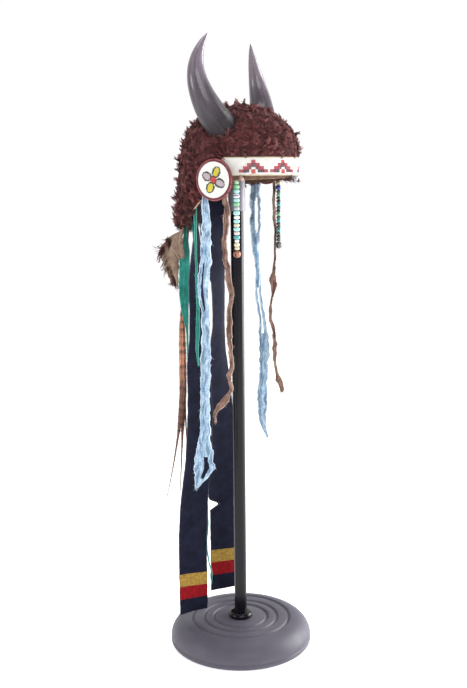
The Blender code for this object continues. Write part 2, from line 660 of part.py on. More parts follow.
def horn_rings(side, clearance):
    """Rings square to the horn's curved middle line, root first. side is -1 on the right."""
    middle = [Vector((side * row["out"] * HORN_RISE, HEAD_SETBACK + row["back"] * HORN_RISE,
                      RIM_Z + row["rise"] * HORN_RISE)) for row in HORN_SECTIONS]
    rings = []
    for i, (row, centre) in enumerate(zip(HORN_SECTIONS, middle)):
        ahead = (middle[min(i + 1, len(middle) - 1)] - middle[max(i - 1, 0)]).normalized()
        across = ahead.cross(Vector((0.0, 1.0, 0.0))).normalized()
        forward = across.cross(ahead)
        radius = row["radius"] * HORN_RADIUS + clearance
        ring = []
        for k in range(HORN_SIDES):
            turn = 2 * math.pi * k / HORN_SIDES
            ring.append(centre + across * (radius * math.cos(turn)) + forward * (radius * math.sin(turn)))
        rings.append(ring)
    return rings


def build_horns(material, coat, collection, cutters):
    """Both horns, seated on the hide, and their holes through the fur."""
    offset = HIDE_WALL + GAP
    dome = hide_dome(offset)
    points = [point for ring in dome[:-1] for point in ring] + [dome[-1]]
    pole = len(points) - 1
    faces = [tuple(range(HIDE_COLUMNS))]
    for row in range(len(dome) - 2):
        for i in range(HIDE_COLUMNS):
            near = row * HIDE_COLUMNS
            following = (i + 1) % HIDE_COLUMNS
            faces.append((near + i, near + following, near + HIDE_COLUMNS + following, near + HIDE_COLUMNS + i))
    last = pole - HIDE_COLUMNS
    for i in range(HIDE_COLUMNS):
        faces.append((last + i, last + (i + 1) % HIDE_COLUMNS, pole))
    head = add_mesh("head_form_cutter", points, faces, None, cutters)
    for name, side in (("horn_right", -1), ("horn_left", 1)):
        horn = loft(name, horn_rings(side, 0.0), material, collection)
        add_difference(horn, head)
        hole = loft(name + "_hole_cutter", horn_rings(side, FUR_GAP), None, cutters)
        add_difference(coat, hole)


def build_band(material, collection):
    """The beaded band round the brow."""
    steps = 2 * BAND_HALF_ANGLE // COLUMN_TURN
    rings = []
    for i in range(steps + 1):
        angle = -BAND_HALF_ANGLE + i * COLUMN_TURN
        inner = HIDE_WALL + GAP
        outer = inner + BAND_THICKNESS
        rings.append([wall_point(angle, RIM_Z, inner), wall_point(angle, RIM_Z, outer),
                      wall_point(angle, RIM_Z + BAND_HEIGHT, outer), wall_point(angle, RIM_Z + BAND_HEIGHT, inner)])
    return loft("brow_band", rings, material, collection)


def rosette_plane():
    """How far the rosettes' inner faces stand out from the middle of the head."""
    wall = HEAD_WIDTH / 2 + HIDE_WALL + FUR_GAP + ROSETTE_BED
    return wall + GAP + ROSETTE_PAD


def build_rosettes(leather, beads, collection):
    """A padded round backing and a beaded face over each temple."""
    rim = ROSETTE_BACKING * 0.35
    backing = [(0.0, ROSETTE_BACKING), (ROSETTE_RADIUS - rim, ROSETTE_BACKING),
               (ROSETTE_RADIUS, ROSETTE_BACKING - rim), (ROSETTE_RADIUS, rim),
               (ROSETTE_RADIUS - rim, 0.0), (ROSETTE_RADIUS * 0.4, 0.0), (0.0, -ROSETTE_PAD)]
    face = [(0.0, ROSETTE_FACE), (ROSETTE_FACE_RADIUS * 0.6, ROSETTE_FACE * 0.9),
            (ROSETTE_FACE_RADIUS * 0.94, ROSETTE_FACE * 0.6), (ROSETTE_FACE_RADIUS, 0.0), (0.0, 0.0)]
    for name, side in (("right", -1), ("left", 1)):
        place = Vector((side * rosette_plane(), ROSETTE_Y, rosette_height(side)))
        for label, profile, lift, material in (("backing", backing, 0.0, leather),
                                               ("face", face, ROSETTE_BACKING + GAP, beads)):
            item = add_turned("rosette_" + label + "_" + name, profile, ROUND_STEPS * 2 // 3, material, collection)
            item.location = place + Vector((side * lift, 0.0, 0.0))
            item.rotation_euler = (0.0, side * math.pi / 2, 0.0)


def bead_profile(beads):
    """The turned outline of a string of barrel beads that ends in a round bell."""
    height = 0.0
    profile = [(0.0, 0.0)]
    for bead in beads:
        profile.append((STRING_THREAD_RADIUS, height))
        profile.append((bead["radius"], height - bead["height"] * 0.25))
        profile.append((bead["radius"], height - bead["height"] * 0.75))
        height -= bead["height"]
    profile.append((STRING_THREAD_RADIUS, height))
    for turn in (30, 60, 90, 120, 150):
        climb = math.radians(turn)
        profile.append((BELL_RADIUS * math.sin(climb), height - BELL_RADIUS * (1.0 - math.cos(climb))))
    profile.append((0.0, height - 2.0 * BELL_RADIUS))
    return profile


def string_place(side):
    """The top of a bead string, just under the hide's lower edge."""
    angle = -side * STRING_ANGLE
    edge = head_point(angle, -1.0, HIDE_WALL / 2, hide_drop(angle))
    return edge - Vector((0.0, 0.0, SEW_GAP))


def build_strings(material, collection):
    """A string of beads with a bell at each temple."""
    for name, side, beads in (("bead_string_right", -1, RIGHT_BEADS), ("bead_string_left", 1, LEFT_BEADS)):
        item = add_turned(name, bead_profile(beads), BEAD_SIDES, material, collection)
        item.location = string_place(side)


def build_brow_bells(material, collection):
    """Small bells under the band's lower edge."""
    for bell in BROW_BELLS:
        radius = bell["radius"]
        profile = [(0.0, radius)]
        profile += [(radius * math.sin(math.radians(t)), radius * math.cos(math.radians(t))) for t in
                    (36, 72, 108, 144)]
        profile.append((0.0, -radius))
        item = add_turned(bell["name"], profile, BEAD_SIDES, material, collection)
        centre = wall_point(bell["angle"], RIM_Z, HIDE_WALL + GAP + radius)
        lean = radius - BAND_THICKNESS
        centre.z -= math.sqrt((radius + SEW_GAP) ** 2 - lean ** 2)
        item.location = centre


def strip_rings(top, length, width, thickness, sections, side):
    """Thin oblong sections down a hanging strip.

    top is the strip's top centre. side is -1 on the wearer's right, and turns what the table
    gives for out and turn to that side. A turn of 0 has the width along Y.
    """
    rings = []
    for row in sections:
        centre = top + Vector((side * row["out"] * width, row["back"] * width, -row["along"] * length))
        turn = math.radians(row["turn"])
        across = Vector((-side * math.sin(turn), math.cos(turn), 0.0)) * (row["width"] * width / 2)
        through = Vector((math.cos(turn), side * math.sin(turn), 0.0)) * (thickness / 2)
        rings.append([centre - across - through, centre + across - through,
                      centre + across + through, centre - across + through])
    return rings


def build_side_ribbons(blue, tan, collection):
    """The torn cotton strips that hang from behind each rosette."""
    out = rosette_plane() - GAP - RIBBON_THICKNESS
    rows = (
        ("ribbon_blue_right", -1, BLUE_SHIFT, BLUE_RIGHT_LENGTH, BLUE_RIBBON_WIDTH, BLUE_RIGHT_SECTIONS, blue),
        ("ribbon_blue_left", 1, BLUE_SHIFT, BLUE_LEFT_LENGTH, BLUE_RIBBON_WIDTH, BLUE_LEFT_SECTIONS, blue),
        ("ribbon_tan_right", -1, TAN_SHIFT, TAN_RIGHT_LENGTH, TAN_RIBBON_WIDTH, TAN_RIGHT_SECTIONS, tan),
        ("ribbon_tan_left", 1, TAN_SHIFT, TAN_LEFT_LENGTH, TAN_RIBBON_WIDTH, TAN_LEFT_SECTIONS, tan),
    )
    for name, side, shift, length, width, sections, material in rows:
        height = rosette_height(side) - ROSETTE_RADIUS + RIBBON_TUCK
        top = Vector((side * out, ROSETTE_Y + shift, height))
        loft(name, strip_rings(top, length, width, RIBBON_THICKNESS, sections, side), material, collection)


def build_teal_ribbons(material, collection):
    """The teal strips sewn inside the neck flap."""
    rows = (
        ("ribbon_teal_back", 152, TEAL_BACK_DROP, TEAL_BACK_LENGTH, TEAL_BACK_SECTIONS, -1),
        ("ribbon_teal_side", 121, TEAL_TOP_DROP, TEAL_SIDE_LENGTH, TEAL_SIDE_SECTIONS, -1),
        ("ribbon_teal_long", 180, TEAL_TOP_DROP, TEAL_LONG_LENGTH, TEAL_LONG_SECTIONS, -1),
    )
    for name, angle, drop, length, sections, side in rows:
        top = wall_point(angle, RIM_Z - drop, -INSIDE_GAP - RIBBON_THICKNESS / 2)
        if abs(math.sin(math.radians(angle))) < 0.01:
            top.x = 0.0
        loft(name, strip_rings(top, length, TEAL_WIDTH, RIBBON_THICKNESS, sections, side), material, collection)


def trailer_rings(length, sections, side):
    """Curved cross-sections down a trailer, five points wide on each face."""
    seat = wall_point(side * -TRAILER_ANGLE, TRAILER_TOP, -INSIDE_GAP)
    shares = (-1.0, -0.5, 0.0, 0.5, 1.0)
    rings = []
    for row in sections:
        centre = Vector((side * row["out"] * TRAILER_WIDTH, seat.y + row["back"] * TRAILER_WIDTH,
                         TRAILER_TOP - row["along"] * length))
        turn = math.radians(row["turn"])
        across = Vector((math.cos(turn), -math.sin(turn), 0.0))
        inward = Vector((-math.sin(turn), -math.cos(turn), 0.0))
        face = []
        for share in shares:
            bend = row["cup"] * TRAILER_CUP * share * share
            face.append(centre + across * (share * TRAILER_WIDTH / 2) + inward * bend)
        back = [point + inward * TRAILER_THICKNESS for point in reversed(face)]
        rings.append(face + back)
    return rings


def build_trailers(material, collection):
    """Two long strips of dark wool cloth."""
    loft("trailer_right", trailer_rings(TRAILER_RIGHT_LENGTH, TRAILER_RIGHT_SECTIONS, -1), material, collection)
    loft("trailer_left", trailer_rings(TRAILER_LEFT_LENGTH, TRAILER_LEFT_SECTIONS, 1), material, collection)


def build_tails(material, collection):
    """The hide tail and tab under the neck flap's corner."""
    for name, angle, reach, length, width, sections in (
            ("hide_tail", TAIL_ANGLE, TAIL_REACH, TAIL_LENGTH, TAIL_WIDTH, TAIL_SECTIONS),
            ("hide_tab", TAB_ANGLE, TAB_REACH, TAB_LENGTH, TAB_WIDTH, TAB_SECTIONS)):
        drop = max(hide_drop(angle - reach), hide_drop(angle + reach))
        edge = head_point(angle, -1.0, HIDE_WALL / 2, drop)
        top = edge - Vector((0.0, 0.0, SEW_GAP))
        loft(name, strip_rings(top, length, width, TAIL_THICKNESS, sections, -1), material, collection)


def build_feathers(material, collection):
    """Three long tail feathers, each a narrow blade that is thickest at its quill."""
    for i, feather in enumerate(FEATHERS):
        length = feather["length"] * FEATHER_LENGTH
        angle = FEATHER_ANGLE + i * FEATHER_ANGLE_STEP
        top = wall_point(angle, RIM_Z - FLAP_DROP * 0.92, -INSIDE_GAP - FEATHER_THICKNESS * 0.88)
        rings = []
        for row in FEATHER_SECTIONS:
            spread = max(0.0, row["along"] - 0.6) / 0.4
            back = FEATHER_KICK * min(1.0, row["along"] / 0.35) + feather["sweep"] * FEATHER_LENGTH * spread ** 1.4
            centre = top + Vector((0.0, back, -row["along"] * length))
            half = row["width"] * FEATHER_WIDTH / 2
            quill = FEATHER_THICKNESS / 2
            rings.append([centre + Vector((0.0, -half, 0.0)), centre + Vector((-quill, 0.0, 0.0)),
                          centre + Vector((0.0, half, 0.0)), centre + Vector((quill, 0.0, 0.0))])
        loft(feather["name"], rings, material, collection)


def base_profile():
    """The base's outline: a flat grooved top, a domed shoulder and a rounded rim."""
    profile = [(0.0, BASE_HEIGHT)]
    for radius in GROOVE_RADII:
        half = GROOVE_WIDTH / 2
        profile += [(radius - half, BASE_HEIGHT), (radius, BASE_HEIGHT - GROOVE_DEPTH), (radius + half, BASE_HEIGHT)]
    run = BASE_RADIUS - BASE_TOP_RADIUS
    fall = BASE_HEIGHT - BASE_RIM_HEIGHT
    for turn in (0, 25, 50, 75):
        climb = math.radians(turn)
        profile.append((BASE_TOP_RADIUS + run * math.sin(climb), BASE_RIM_HEIGHT + fall * math.cos(climb)))
    rim = BASE_RIM_HEIGHT / 2
    profile += [(BASE_RADIUS, rim * 1.4), (BASE_RADIUS - rim * 0.2, rim * 0.5), (BASE_RADIUS - rim * 0.9, 0.0),
                (0.0, 0.0)]
    return profile


def build_stand(base_coat, pole_coat, pewter, collection):
    """The weighted base, pole, sleeve and the rest under the crown."""
    add_turned("stand_base", base_profile(), ROUND_STEPS, base_coat, collection)
    low = BASE_HEIGHT + GAP
    pole = [(0.0, POLE_TOP), (POLE_RADIUS, POLE_TOP), (POLE_RADIUS, low), (0.0, low)]
    add_turned("stand_pole", pole, 20, pole_coat, collection)
    bore = POLE_RADIUS + GAP
    collar = [(bore, low), (bore, low + COLLAR_HEIGHT), (COLLAR_RADIUS * 0.72, low + COLLAR_HEIGHT),
              (COLLAR_RADIUS, low + COLLAR_HEIGHT * 0.35), (COLLAR_RADIUS, low), (bore, low)]
    add_turned("stand_foot_collar", collar, 20, pole_coat, collection)
    step = POLE_TOP + GAP
    rod_bore = ROD_RADIUS + GAP
    sleeve = [(bore, SLEEVE_BOTTOM), (bore, step), (rod_bore, step), (rod_bore, SLEEVE_TOP),
              (SLEEVE_RADIUS, SLEEVE_TOP), (SLEEVE_RADIUS, SLEEVE_BOTTOM), (bore, SLEEVE_BOTTOM)]
    add_turned("stand_sleeve", sleeve, 20, pewter, collection)
    reach = (0.0 - HEAD_SETBACK) / (HEAD_LENGTH / 2)
    crown = RIM_Z + CROWN_RISE * (1.0 - abs(reach) ** DOME_SQUARENESS) ** (1 / DOME_SQUARENESS) - INSIDE_GAP
    under = crown - REST_DEPTH
    rest = [(0.0, crown), (REST_RADIUS * 0.5, crown - REST_DEPTH * 0.18),
            (REST_RADIUS * 0.85, crown - REST_DEPTH * 0.45), (REST_RADIUS, crown - REST_DEPTH * 0.70),
            (REST_RADIUS * 0.9, under), (0.0, under)]
    add_turned("stand_crown_rest", rest, 20, pole_coat, collection)
    rod = [(0.0, under - GAP), (ROD_RADIUS, under - GAP), (ROD_RADIUS, step), (0.0, step)]
    add_turned("stand_top_rod", rod, 20, pole_coat, collection)


def build_headdress():
    """Build every piece."""
    clear_scene()
    parts = make_collection("horn_headdress_on_stand")
    cutters = make_collection("cutters")
    base_coat = make_material("charcoal base paint", (0.055, 0.050, 0.058), 0.62)
    pole_coat = make_material("satin black paint", (0.012, 0.011, 0.013), 0.30)
    pewter = make_material("pewter grey metal", (0.42, 0.40, 0.43), 0.35, 0.6)
    hide = make_material("brown hide", (0.10, 0.055, 0.035), 0.85)
    wool = make_material("buffalo wool", (0.085, 0.030, 0.026), 0.95)
    suede = make_material("tan suede", (0.36, 0.22, 0.12), 0.9)
    horn = make_material("polished black horn", (0.020, 0.017, 0.022), 0.22)
    white_beads = make_material("white seed beads", (0.86, 0.84, 0.80), 0.35)
    rim_leather = make_material("red brown edging", (0.26, 0.06, 0.05), 0.5)
    glass_beads = make_material("aqua glass beads", (0.25, 0.62, 0.55), 0.2)
    copper = make_material("tarnished copper", (0.35, 0.22, 0.17), 0.4, 0.8)
    blue_cotton = make_material("washed blue cotton", (0.34, 0.52, 0.72), 0.9)
    tan_cotton = make_material("tea brown muslin", (0.38, 0.22, 0.13), 0.9)
    teal_cotton = make_material("teal cotton", (0.03, 0.34, 0.24), 0.85)
    navy_wool = make_material("navy trade cloth", (0.010, 0.012, 0.030), 0.95)
    barred_vane = make_material("barred feather", (0.40, 0.14, 0.05), 0.7)
    build_stand(base_coat, pole_coat, pewter, parts)
    build_hide_cap(hide, parts)
    coat = build_fur_coat(wool, parts)
    build_horns(horn, coat, parts, cutters)
    build_band(white_beads, parts)
    build_rosettes(rim_leather, white_beads, parts)
    build_strings(glass_beads, parts)
    build_brow_bells(copper, parts)
    build_side_ribbons(blue_cotton, tan_cotton, parts)
    build_teal_ribbons(teal_cotton, parts)
    build_trailers(navy_wool, parts)
    build_tails(suede, parts)
    build_feathers(barred_vane, parts)


build_headdress()
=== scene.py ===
"""The looks of a horned fur headdress on its display stand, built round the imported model.

Metres, +Z up. The headdress faces -Y and its wearer's right is -X.
"""

import logging
import math
import random
from dataclasses import dataclass, field
from enum import Enum

import bmesh
import bpy
from mathutils import Euler, Matrix, Vector, noise


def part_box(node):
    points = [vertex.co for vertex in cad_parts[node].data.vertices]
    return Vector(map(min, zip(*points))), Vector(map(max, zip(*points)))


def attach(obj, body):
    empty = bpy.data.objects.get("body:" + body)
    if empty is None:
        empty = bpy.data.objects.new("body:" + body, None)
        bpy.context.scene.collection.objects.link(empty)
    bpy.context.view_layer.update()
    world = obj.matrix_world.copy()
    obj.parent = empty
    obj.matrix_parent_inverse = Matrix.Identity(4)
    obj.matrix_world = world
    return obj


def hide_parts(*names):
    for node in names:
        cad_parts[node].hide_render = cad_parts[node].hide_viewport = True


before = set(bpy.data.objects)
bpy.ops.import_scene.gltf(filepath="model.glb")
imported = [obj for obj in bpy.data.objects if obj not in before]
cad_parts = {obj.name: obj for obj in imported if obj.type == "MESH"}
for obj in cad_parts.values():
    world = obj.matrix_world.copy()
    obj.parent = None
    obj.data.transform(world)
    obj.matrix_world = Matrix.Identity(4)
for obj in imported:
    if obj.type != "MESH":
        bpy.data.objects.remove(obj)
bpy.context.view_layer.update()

LOG = logging.getLogger("headdress")
UP = Vector((0.0, 0.0, 1.0))
Colour = tuple[float, float, float]
Table = tuple[tuple[float, ...], ...]


class Side(Enum):
    """A side of the head, with the sign of its X."""

    RIGHT = -1
    LEFT = 1


class BeadTone(Enum):
    """The colours of the seed beads in the brow band's and rosettes' charts."""

    WHITE = (0.97, 0.96, 0.93)
    ROSE = (0.50, 0.045, 0.085)
    MAROON = (0.13, 0.012, 0.035)
    NAVY = (0.022, 0.028, 0.07)
    TEAL = (0.10, 0.22, 0.20)
    RED = (0.66, 0.035, 0.030)
    GREEN = (0.012, 0.05, 0.035)
    YELLOW = (0.78, 0.66, 0.05)
    LILAC = (0.62, 0.50, 0.56)
    PINK = (0.40, 0.12, 0.12)
    CREAM = (0.62, 0.52, 0.34)
    CORAL = (0.30, 0.065, 0.055)


def mix(low: float, high: float, share: float) -> float:
    """Blend two numbers."""
    return low + (high - low) * share


def read_table(table: Table, value: float, column: int = 1) -> float:
    """Read a column of a table of rows by straight lines.

    Args:
        table: Rows whose first number rises.
        value: Where to read, in the terms of the first column.
        column: The column to read.

    Returns:
        The number found there.
    """
    if value <= table[0][0]:
        return table[0][column]
    for low, high in zip(table, table[1:]):
        if value <= high[0]:
            return mix(low[column], high[column], (value - low[0]) / (high[0] - low[0]))
    return table[-1][column]


def spline(points: list[Vector], place: float) -> Vector:
    """A point on the Catmull-Rom curve through points.

    Args:
        points: The points that the curve passes.
        place: From 0 at the first point to their count less 1 at the last.

    Returns:
        The point on the curve.
    """
    last = len(points) - 1
    index = min(int(place), last - 1)
    share = place - index
    before = points[max(index - 1, 0)]
    start = points[index]
    end = points[index + 1]
    after = points[min(index + 2, last)]
    return 0.5 * (2 * start + (end - before) * share
                  + (2 * before - 5 * start + 4 * end - after) * share ** 2
                  + (3 * start - before - 3 * end + after) * share ** 3)


def wander(seed: float, value: float, scale: float) -> float:
    """Smooth noise from -1 to 1 along one line."""
    return noise.noise(Vector((value / scale, seed * 7.31, seed * 1.7)))


class Wiring:
    """Adds and joins the nodes of one tree."""

    def __init__(self, tree: bpy.types.NodeTree) -> None:
        """Start on a tree."""
        self.tree = tree

    def add(self, kind: str, inputs: dict | None = None, **settings: object) -> bpy.types.Node:
        """Add a node.

        Args:
            kind: The node's type name.
            inputs: Values or sockets for its inputs, by name or index.
            settings: Values for its own properties.

        Returns:
            The node.
        """
        node = self.tree.nodes.new(kind)
        for key, value in settings.items():
            setattr(node, key, value)
        for key, value in (inputs or {}).items():
            if isinstance(value, bpy.types.NodeSocket):
                self.tree.links.new(value, node.inputs[key])
            else:
                node.inputs[key].default_value = value
        return node

    def math(self, operation: str, *values: object) -> bpy.types.NodeSocket:
        """The result of a Math node."""
        return self.add("ShaderNodeMath", dict(enumerate(values)), operation=operation).outputs[0]

    def blend(self, share: object, low: object, high: object) -> bpy.types.NodeSocket:
        """A colour mixed from two."""
        node = self.add("ShaderNodeMix", {0: share, 6: low, 7: high}, data_type="RGBA")
        return node.outputs[2]

    def ramp(self, value: object, low: float, high: float) -> bpy.types.NodeSocket:
        """A value stretched so that low gives 0 and high gives 1."""
        return self.add("ShaderNodeMapRange", {0: value, 1: low, 2: high}).outputs[0]


def make_group(name: str, inputs: dict[str, tuple[str, object]], outputs: dict[str, str]) -> tuple:
    """Start a shader node group.

    Args:
        name: The group's name.
        inputs: Socket name to its type and default.
        outputs: Socket name to its type.

    Returns:
        The tree, its wiring, its input node and its output node.
    """
    tree = bpy.data.node_groups.new(name, "ShaderNodeTree")
    for label, (kind, value) in inputs.items():
        socket = tree.interface.new_socket(label, in_out="INPUT", socket_type="NodeSocket" + kind)
        if value is not None:
            socket.default_value = value
    for label, kind in outputs.items():
        tree.interface.new_socket(label, in_out="OUTPUT", socket_type="NodeSocket" + kind)
    wiring = Wiring(tree)
    return tree, wiring, wiring.add("NodeGroupInput"), wiring.add("NodeGroupOutput")


class SharedEffects:
    """Shader node groups that more than one finish uses."""

    def __init__(self) -> None:
        """Build each group once."""
        self.mottle = self.make_mottle()
        self.weave = self.make_weave()
        self.grain = self.make_grain()

    def make_mottle(self) -> bpy.types.NodeTree:
        """Uneven dye or paint: two colours blended by soft patches and fine specks."""
        tree, wiring, start, end = make_group(
            "mottle",
            {"Vector": ("Vector", None), "Scale": ("Float", 60.0), "Amount": ("Float", 0.5),
             "Deep": ("Color", (0, 0, 0, 1)), "Pale": ("Color", (1, 1, 1, 1))},
            {"Color": "Color", "Mask": "Float"})
        broad = wiring.add("ShaderNodeTexNoise", {"Vector": start.outputs["Vector"],
                                                  "Scale": start.outputs["Scale"], "Detail": 5.0,
                                                  "Roughness": 0.62})
        fine = wiring.add("ShaderNodeTexNoise", {"Vector": start.outputs["Vector"],
                                                 "Scale": wiring.math("MULTIPLY", start.outputs["Scale"], 9.0),
                                                 "Detail": 2.0})
        both = wiring.math("ADD", wiring.math("MULTIPLY", broad.outputs[0], 0.72),
                           wiring.math("MULTIPLY", fine.outputs[0], 0.28))
        centred = wiring.math("SUBTRACT", both, 0.5)
        spread = wiring.math("MULTIPLY", centred, wiring.math("MULTIPLY", start.outputs["Amount"], 5.0))
        mask = wiring.add("ShaderNodeClamp", {0: wiring.math("ADD", spread, 0.5)}).outputs[0]
        wiring.tree.links.new(wiring.blend(mask, start.outputs["Deep"], start.outputs["Pale"]),
                              end.inputs["Color"])
        wiring.tree.links.new(mask, end.inputs["Mask"])
        return tree

    def make_weave(self) -> bpy.types.NodeTree:
        """Plain weave: over and under threads, from a vector in metres."""
        tree, wiring, start, end = make_group(
            "weave",
            {"Vector": ("Vector", None), "Threads": ("Float", 900.0), "Slub": ("Float", 0.3)},
            {"Height": "Float"})
        rough = wiring.add("ShaderNodeTexNoise", {"Vector": start.outputs["Vector"], "Scale": 260.0,
                                                  "Detail": 3.0})
        shift = wiring.add("ShaderNodeVectorMath", {0: rough.outputs["Color"], "Scale": 0.0006},
                           operation="SCALE")
        moved = wiring.add("ShaderNodeVectorMath", {0: start.outputs["Vector"], 1: shift.outputs[0]},
                           operation="ADD")
        parts = wiring.add("ShaderNodeSeparateXYZ", {0: moved.outputs[0]})
        turned = math.pi
        across = wiring.math("SINE", wiring.math("MULTIPLY", wiring.math(
            "MULTIPLY", parts.outputs[0], start.outputs["Threads"]), turned))
        along = wiring.math("SINE", wiring.math("MULTIPLY", wiring.math(
            "MULTIPLY", parts.outputs[1], start.outputs["Threads"]), turned))
        cloth = wiring.math("MULTIPLY", across, along)
        slub = wiring.math("MULTIPLY", rough.outputs[0], start.outputs["Slub"])
        wiring.tree.links.new(wiring.math("ADD", wiring.math("MULTIPLY", cloth, 0.5), slub),
                              end.inputs["Height"])
        return tree

    def make_grain(self) -> bpy.types.NodeTree:
        """Fine pitted grain, as on cast paint or leather."""
        tree, wiring, start, end = make_group(
            "grain", {"Vector": ("Vector", None), "Scale": ("Float", 900.0), "Wear": ("Float", 0.5)},
            {"Height": "Float", "Mask": "Float"})
        cells = wiring.add("ShaderNodeTexVoronoi", {"Vector": start.outputs["Vector"],
                                                    "Scale": start.outputs["Scale"]})
        fine = wiring.add("ShaderNodeTexNoise", {"Vector": start.outputs["Vector"],
                                                 "Scale": start.outputs["Scale"], "Detail": 4.0})
        height = wiring.math("ADD", wiring.math("MULTIPLY", cells.outputs["Distance"], 0.6),
                             wiring.math("MULTIPLY", fine.outputs[0], 0.6))
        patch = wiring.add("ShaderNodeTexNoise", {"Vector": start.outputs["Vector"], "Scale": 24.0,
                                                  "Detail": 6.0, "Roughness": 0.7})
        worn = wiring.ramp(patch.outputs[0], 0.45, 0.75)
        wiring.tree.links.new(height, end.inputs["Height"])
        wiring.tree.links.new(wiring.math("MULTIPLY", worn, start.outputs["Wear"]), end.inputs["Mask"])
        return tree


def start_material(name: str, roughness: float, metallic: float = 0.0) -> tuple:
    """Start a material.

    Args:
        name: Its name.
        roughness: The shader's plain roughness.
        metallic: The shader's plain metallic value.

    Returns:
        The material, its wiring and its Principled shader.
    """
    material = bpy.data.materials.new(name)
    material.use_nodes = True
    wiring = Wiring(material.node_tree)
    shader = material.node_tree.nodes["Principled BSDF"]
    shader.inputs["Roughness"].default_value = roughness
    shader.inputs["Metallic"].default_value = metallic
    return material, wiring, shader


def place_group(wiring: Wiring, tree: bpy.types.NodeTree, inputs: dict) -> bpy.types.Node:
    """Place a shared group and set its inputs.

    Args:
        wiring: The material's wiring.
        tree: The group.
        inputs: Values or sockets by socket name.

    Returns:
        The group node.
    """
    node = wiring.add("ShaderNodeGroup")
    node.node_tree = tree
    for key, value in inputs.items():
        if isinstance(value, bpy.types.NodeSocket):
            wiring.tree.links.new(value, node.inputs[key])
        else:
            node.inputs[key].default_value = value
    return node


@dataclass(frozen=True)
class PaintFinish:
    """Matte or satin paint on metal, with fine grain and scuffs."""

    name: str
    colour: Colour
    roughness: float
    grain: float = 0.15
    metallic: float = 0.0
    specular: float = 0.5

    def material(self, shared: SharedEffects) -> bpy.types.Material:
        """Make the material.

        Args:
            shared: The shared shader groups.

        Returns:
            The material.
        """
        material, wiring, shader = start_material(self.name, self.roughness, self.metallic)
        place = wiring.add("ShaderNodeTexCoord").outputs["Object"]
        mottling = place_group(wiring, shared.mottle, {
            "Vector": place, "Scale": 30.0, "Amount": 0.35,
            "Deep": (*(0.82 * part for part in self.colour), 1.0),
            "Pale": (*(1.20 * part for part in self.colour), 1.0)})
        grain = place_group(wiring, shared.grain, {"Vector": place, "Scale": 1400.0, "Wear": 0.12})
        wiring.tree.links.new(mottling.outputs["Color"], shader.inputs["Base Color"])
        rough = wiring.math("ADD", grain.outputs["Mask"], self.roughness)
        wiring.tree.links.new(rough, shader.inputs["Roughness"])
        bump = wiring.add("ShaderNodeBump", {"Strength": self.grain, "Distance": 0.0002,
                                             "Height": grain.outputs["Height"]})
        wiring.tree.links.new(bump.outputs[0], shader.inputs["Normal"])
        shader.inputs["Specular IOR Level"].default_value = self.specular
        return material


@dataclass(frozen=True)
class HornFinish:
    """Polished dark horn with long streaks, fine cross growth lines and a lilac sheen painted over its upper
    part.
    """

    name: str = "polished_horn"
    deep: Colour = (0.003, 0.003, 0.004)
    pale: Colour = (0.024, 0.018, 0.024)
    # Painted sheen: a lilac colour blended over the upper part of the horn, standing in for its soft highlight.
    painted_sheen: Colour = (0.25, 0.205, 0.25)
    painted_sheen_share: float = 0.66
    roughness: float = 0.26

    def material(self, shared: SharedEffects) -> bpy.types.Material:
        """Make the material from the piece's own UV: around, then along."""
        material, wiring, shader = start_material(self.name, self.roughness)
        flow = wiring.add("ShaderNodeUVMap", uv_map="UVMap").outputs[0]
        stretched = wiring.add("ShaderNodeMapping", {"Vector": flow, "Scale": (9.0, 1.3, 1.0)})
        streak = wiring.add("ShaderNodeTexNoise", {"Vector": stretched.outputs[0], "Scale": 6.0,
                                                   "Detail": 6.0, "Roughness": 0.65, "Distortion": 0.3})
        mottling = place_group(wiring, shared.mottle, {
            "Vector": stretched.outputs[0], "Scale": 2.2, "Amount": 0.8,
            "Deep": (*self.deep, 1.0), "Pale": (*self.pale, 1.0)})
        light = wiring.ramp(streak.outputs[0], 0.42, 0.85)
        streaked = wiring.blend(wiring.math("MULTIPLY", light, 0.30), mottling.outputs["Color"],
                                (0.13, 0.10, 0.12, 1.0))
        along = wiring.add("ShaderNodeSeparateXYZ", {0: flow}).outputs[1]
        # Painted highlight: the upper horn is lightened towards the lilac sheen colour, broken up by the mottle.
        painted_sheen = wiring.math("MULTIPLY", wiring.ramp(along, 0.26, 0.72), self.painted_sheen_share)
        painted_sheen_mask = wiring.math("MULTIPLY", painted_sheen, wiring.ramp(mottling.outputs["Mask"], -0.6, 0.6))
        colour = wiring.blend(painted_sheen_mask, streaked, (*self.painted_sheen, 1.0))
        wiring.tree.links.new(colour, shader.inputs["Base Color"])
        rings = wiring.add("ShaderNodeTexWave", {"Vector": flow, "Scale": 14.0, "Distortion": 3.0,
                                                 "Detail": 3.0}, bands_direction="Y")
        height = wiring.math("ADD", wiring.math("MULTIPLY", rings.outputs[1], 0.15), streak.outputs[0])
        bump = wiring.add("ShaderNodeBump", {"Strength": 0.06, "Distance": 0.0005, "Height": height})
        wiring.tree.links.new(bump.outputs[0], shader.inputs["Normal"])
        root = wiring.math("MULTIPLY", wiring.ramp(along, 0.46, 0.16), 0.22)
        rough = wiring.math("ADD", wiring.math("MULTIPLY", streak.outputs[0], 0.22), self.roughness - 0.08)
        wiring.tree.links.new(wiring.math("ADD", rough, root), shader.inputs["Roughness"])
        shine = wiring.math("MULTIPLY", wiring.ramp(along, 0.20, 0.50), 0.45)
        wiring.tree.links.new(shine, shader.inputs["Coat Weight"])
        shader.inputs["Specular IOR Level"].default_value = 0.22
        shader.inputs["Coat Roughness"].default_value = 0.10
        return material


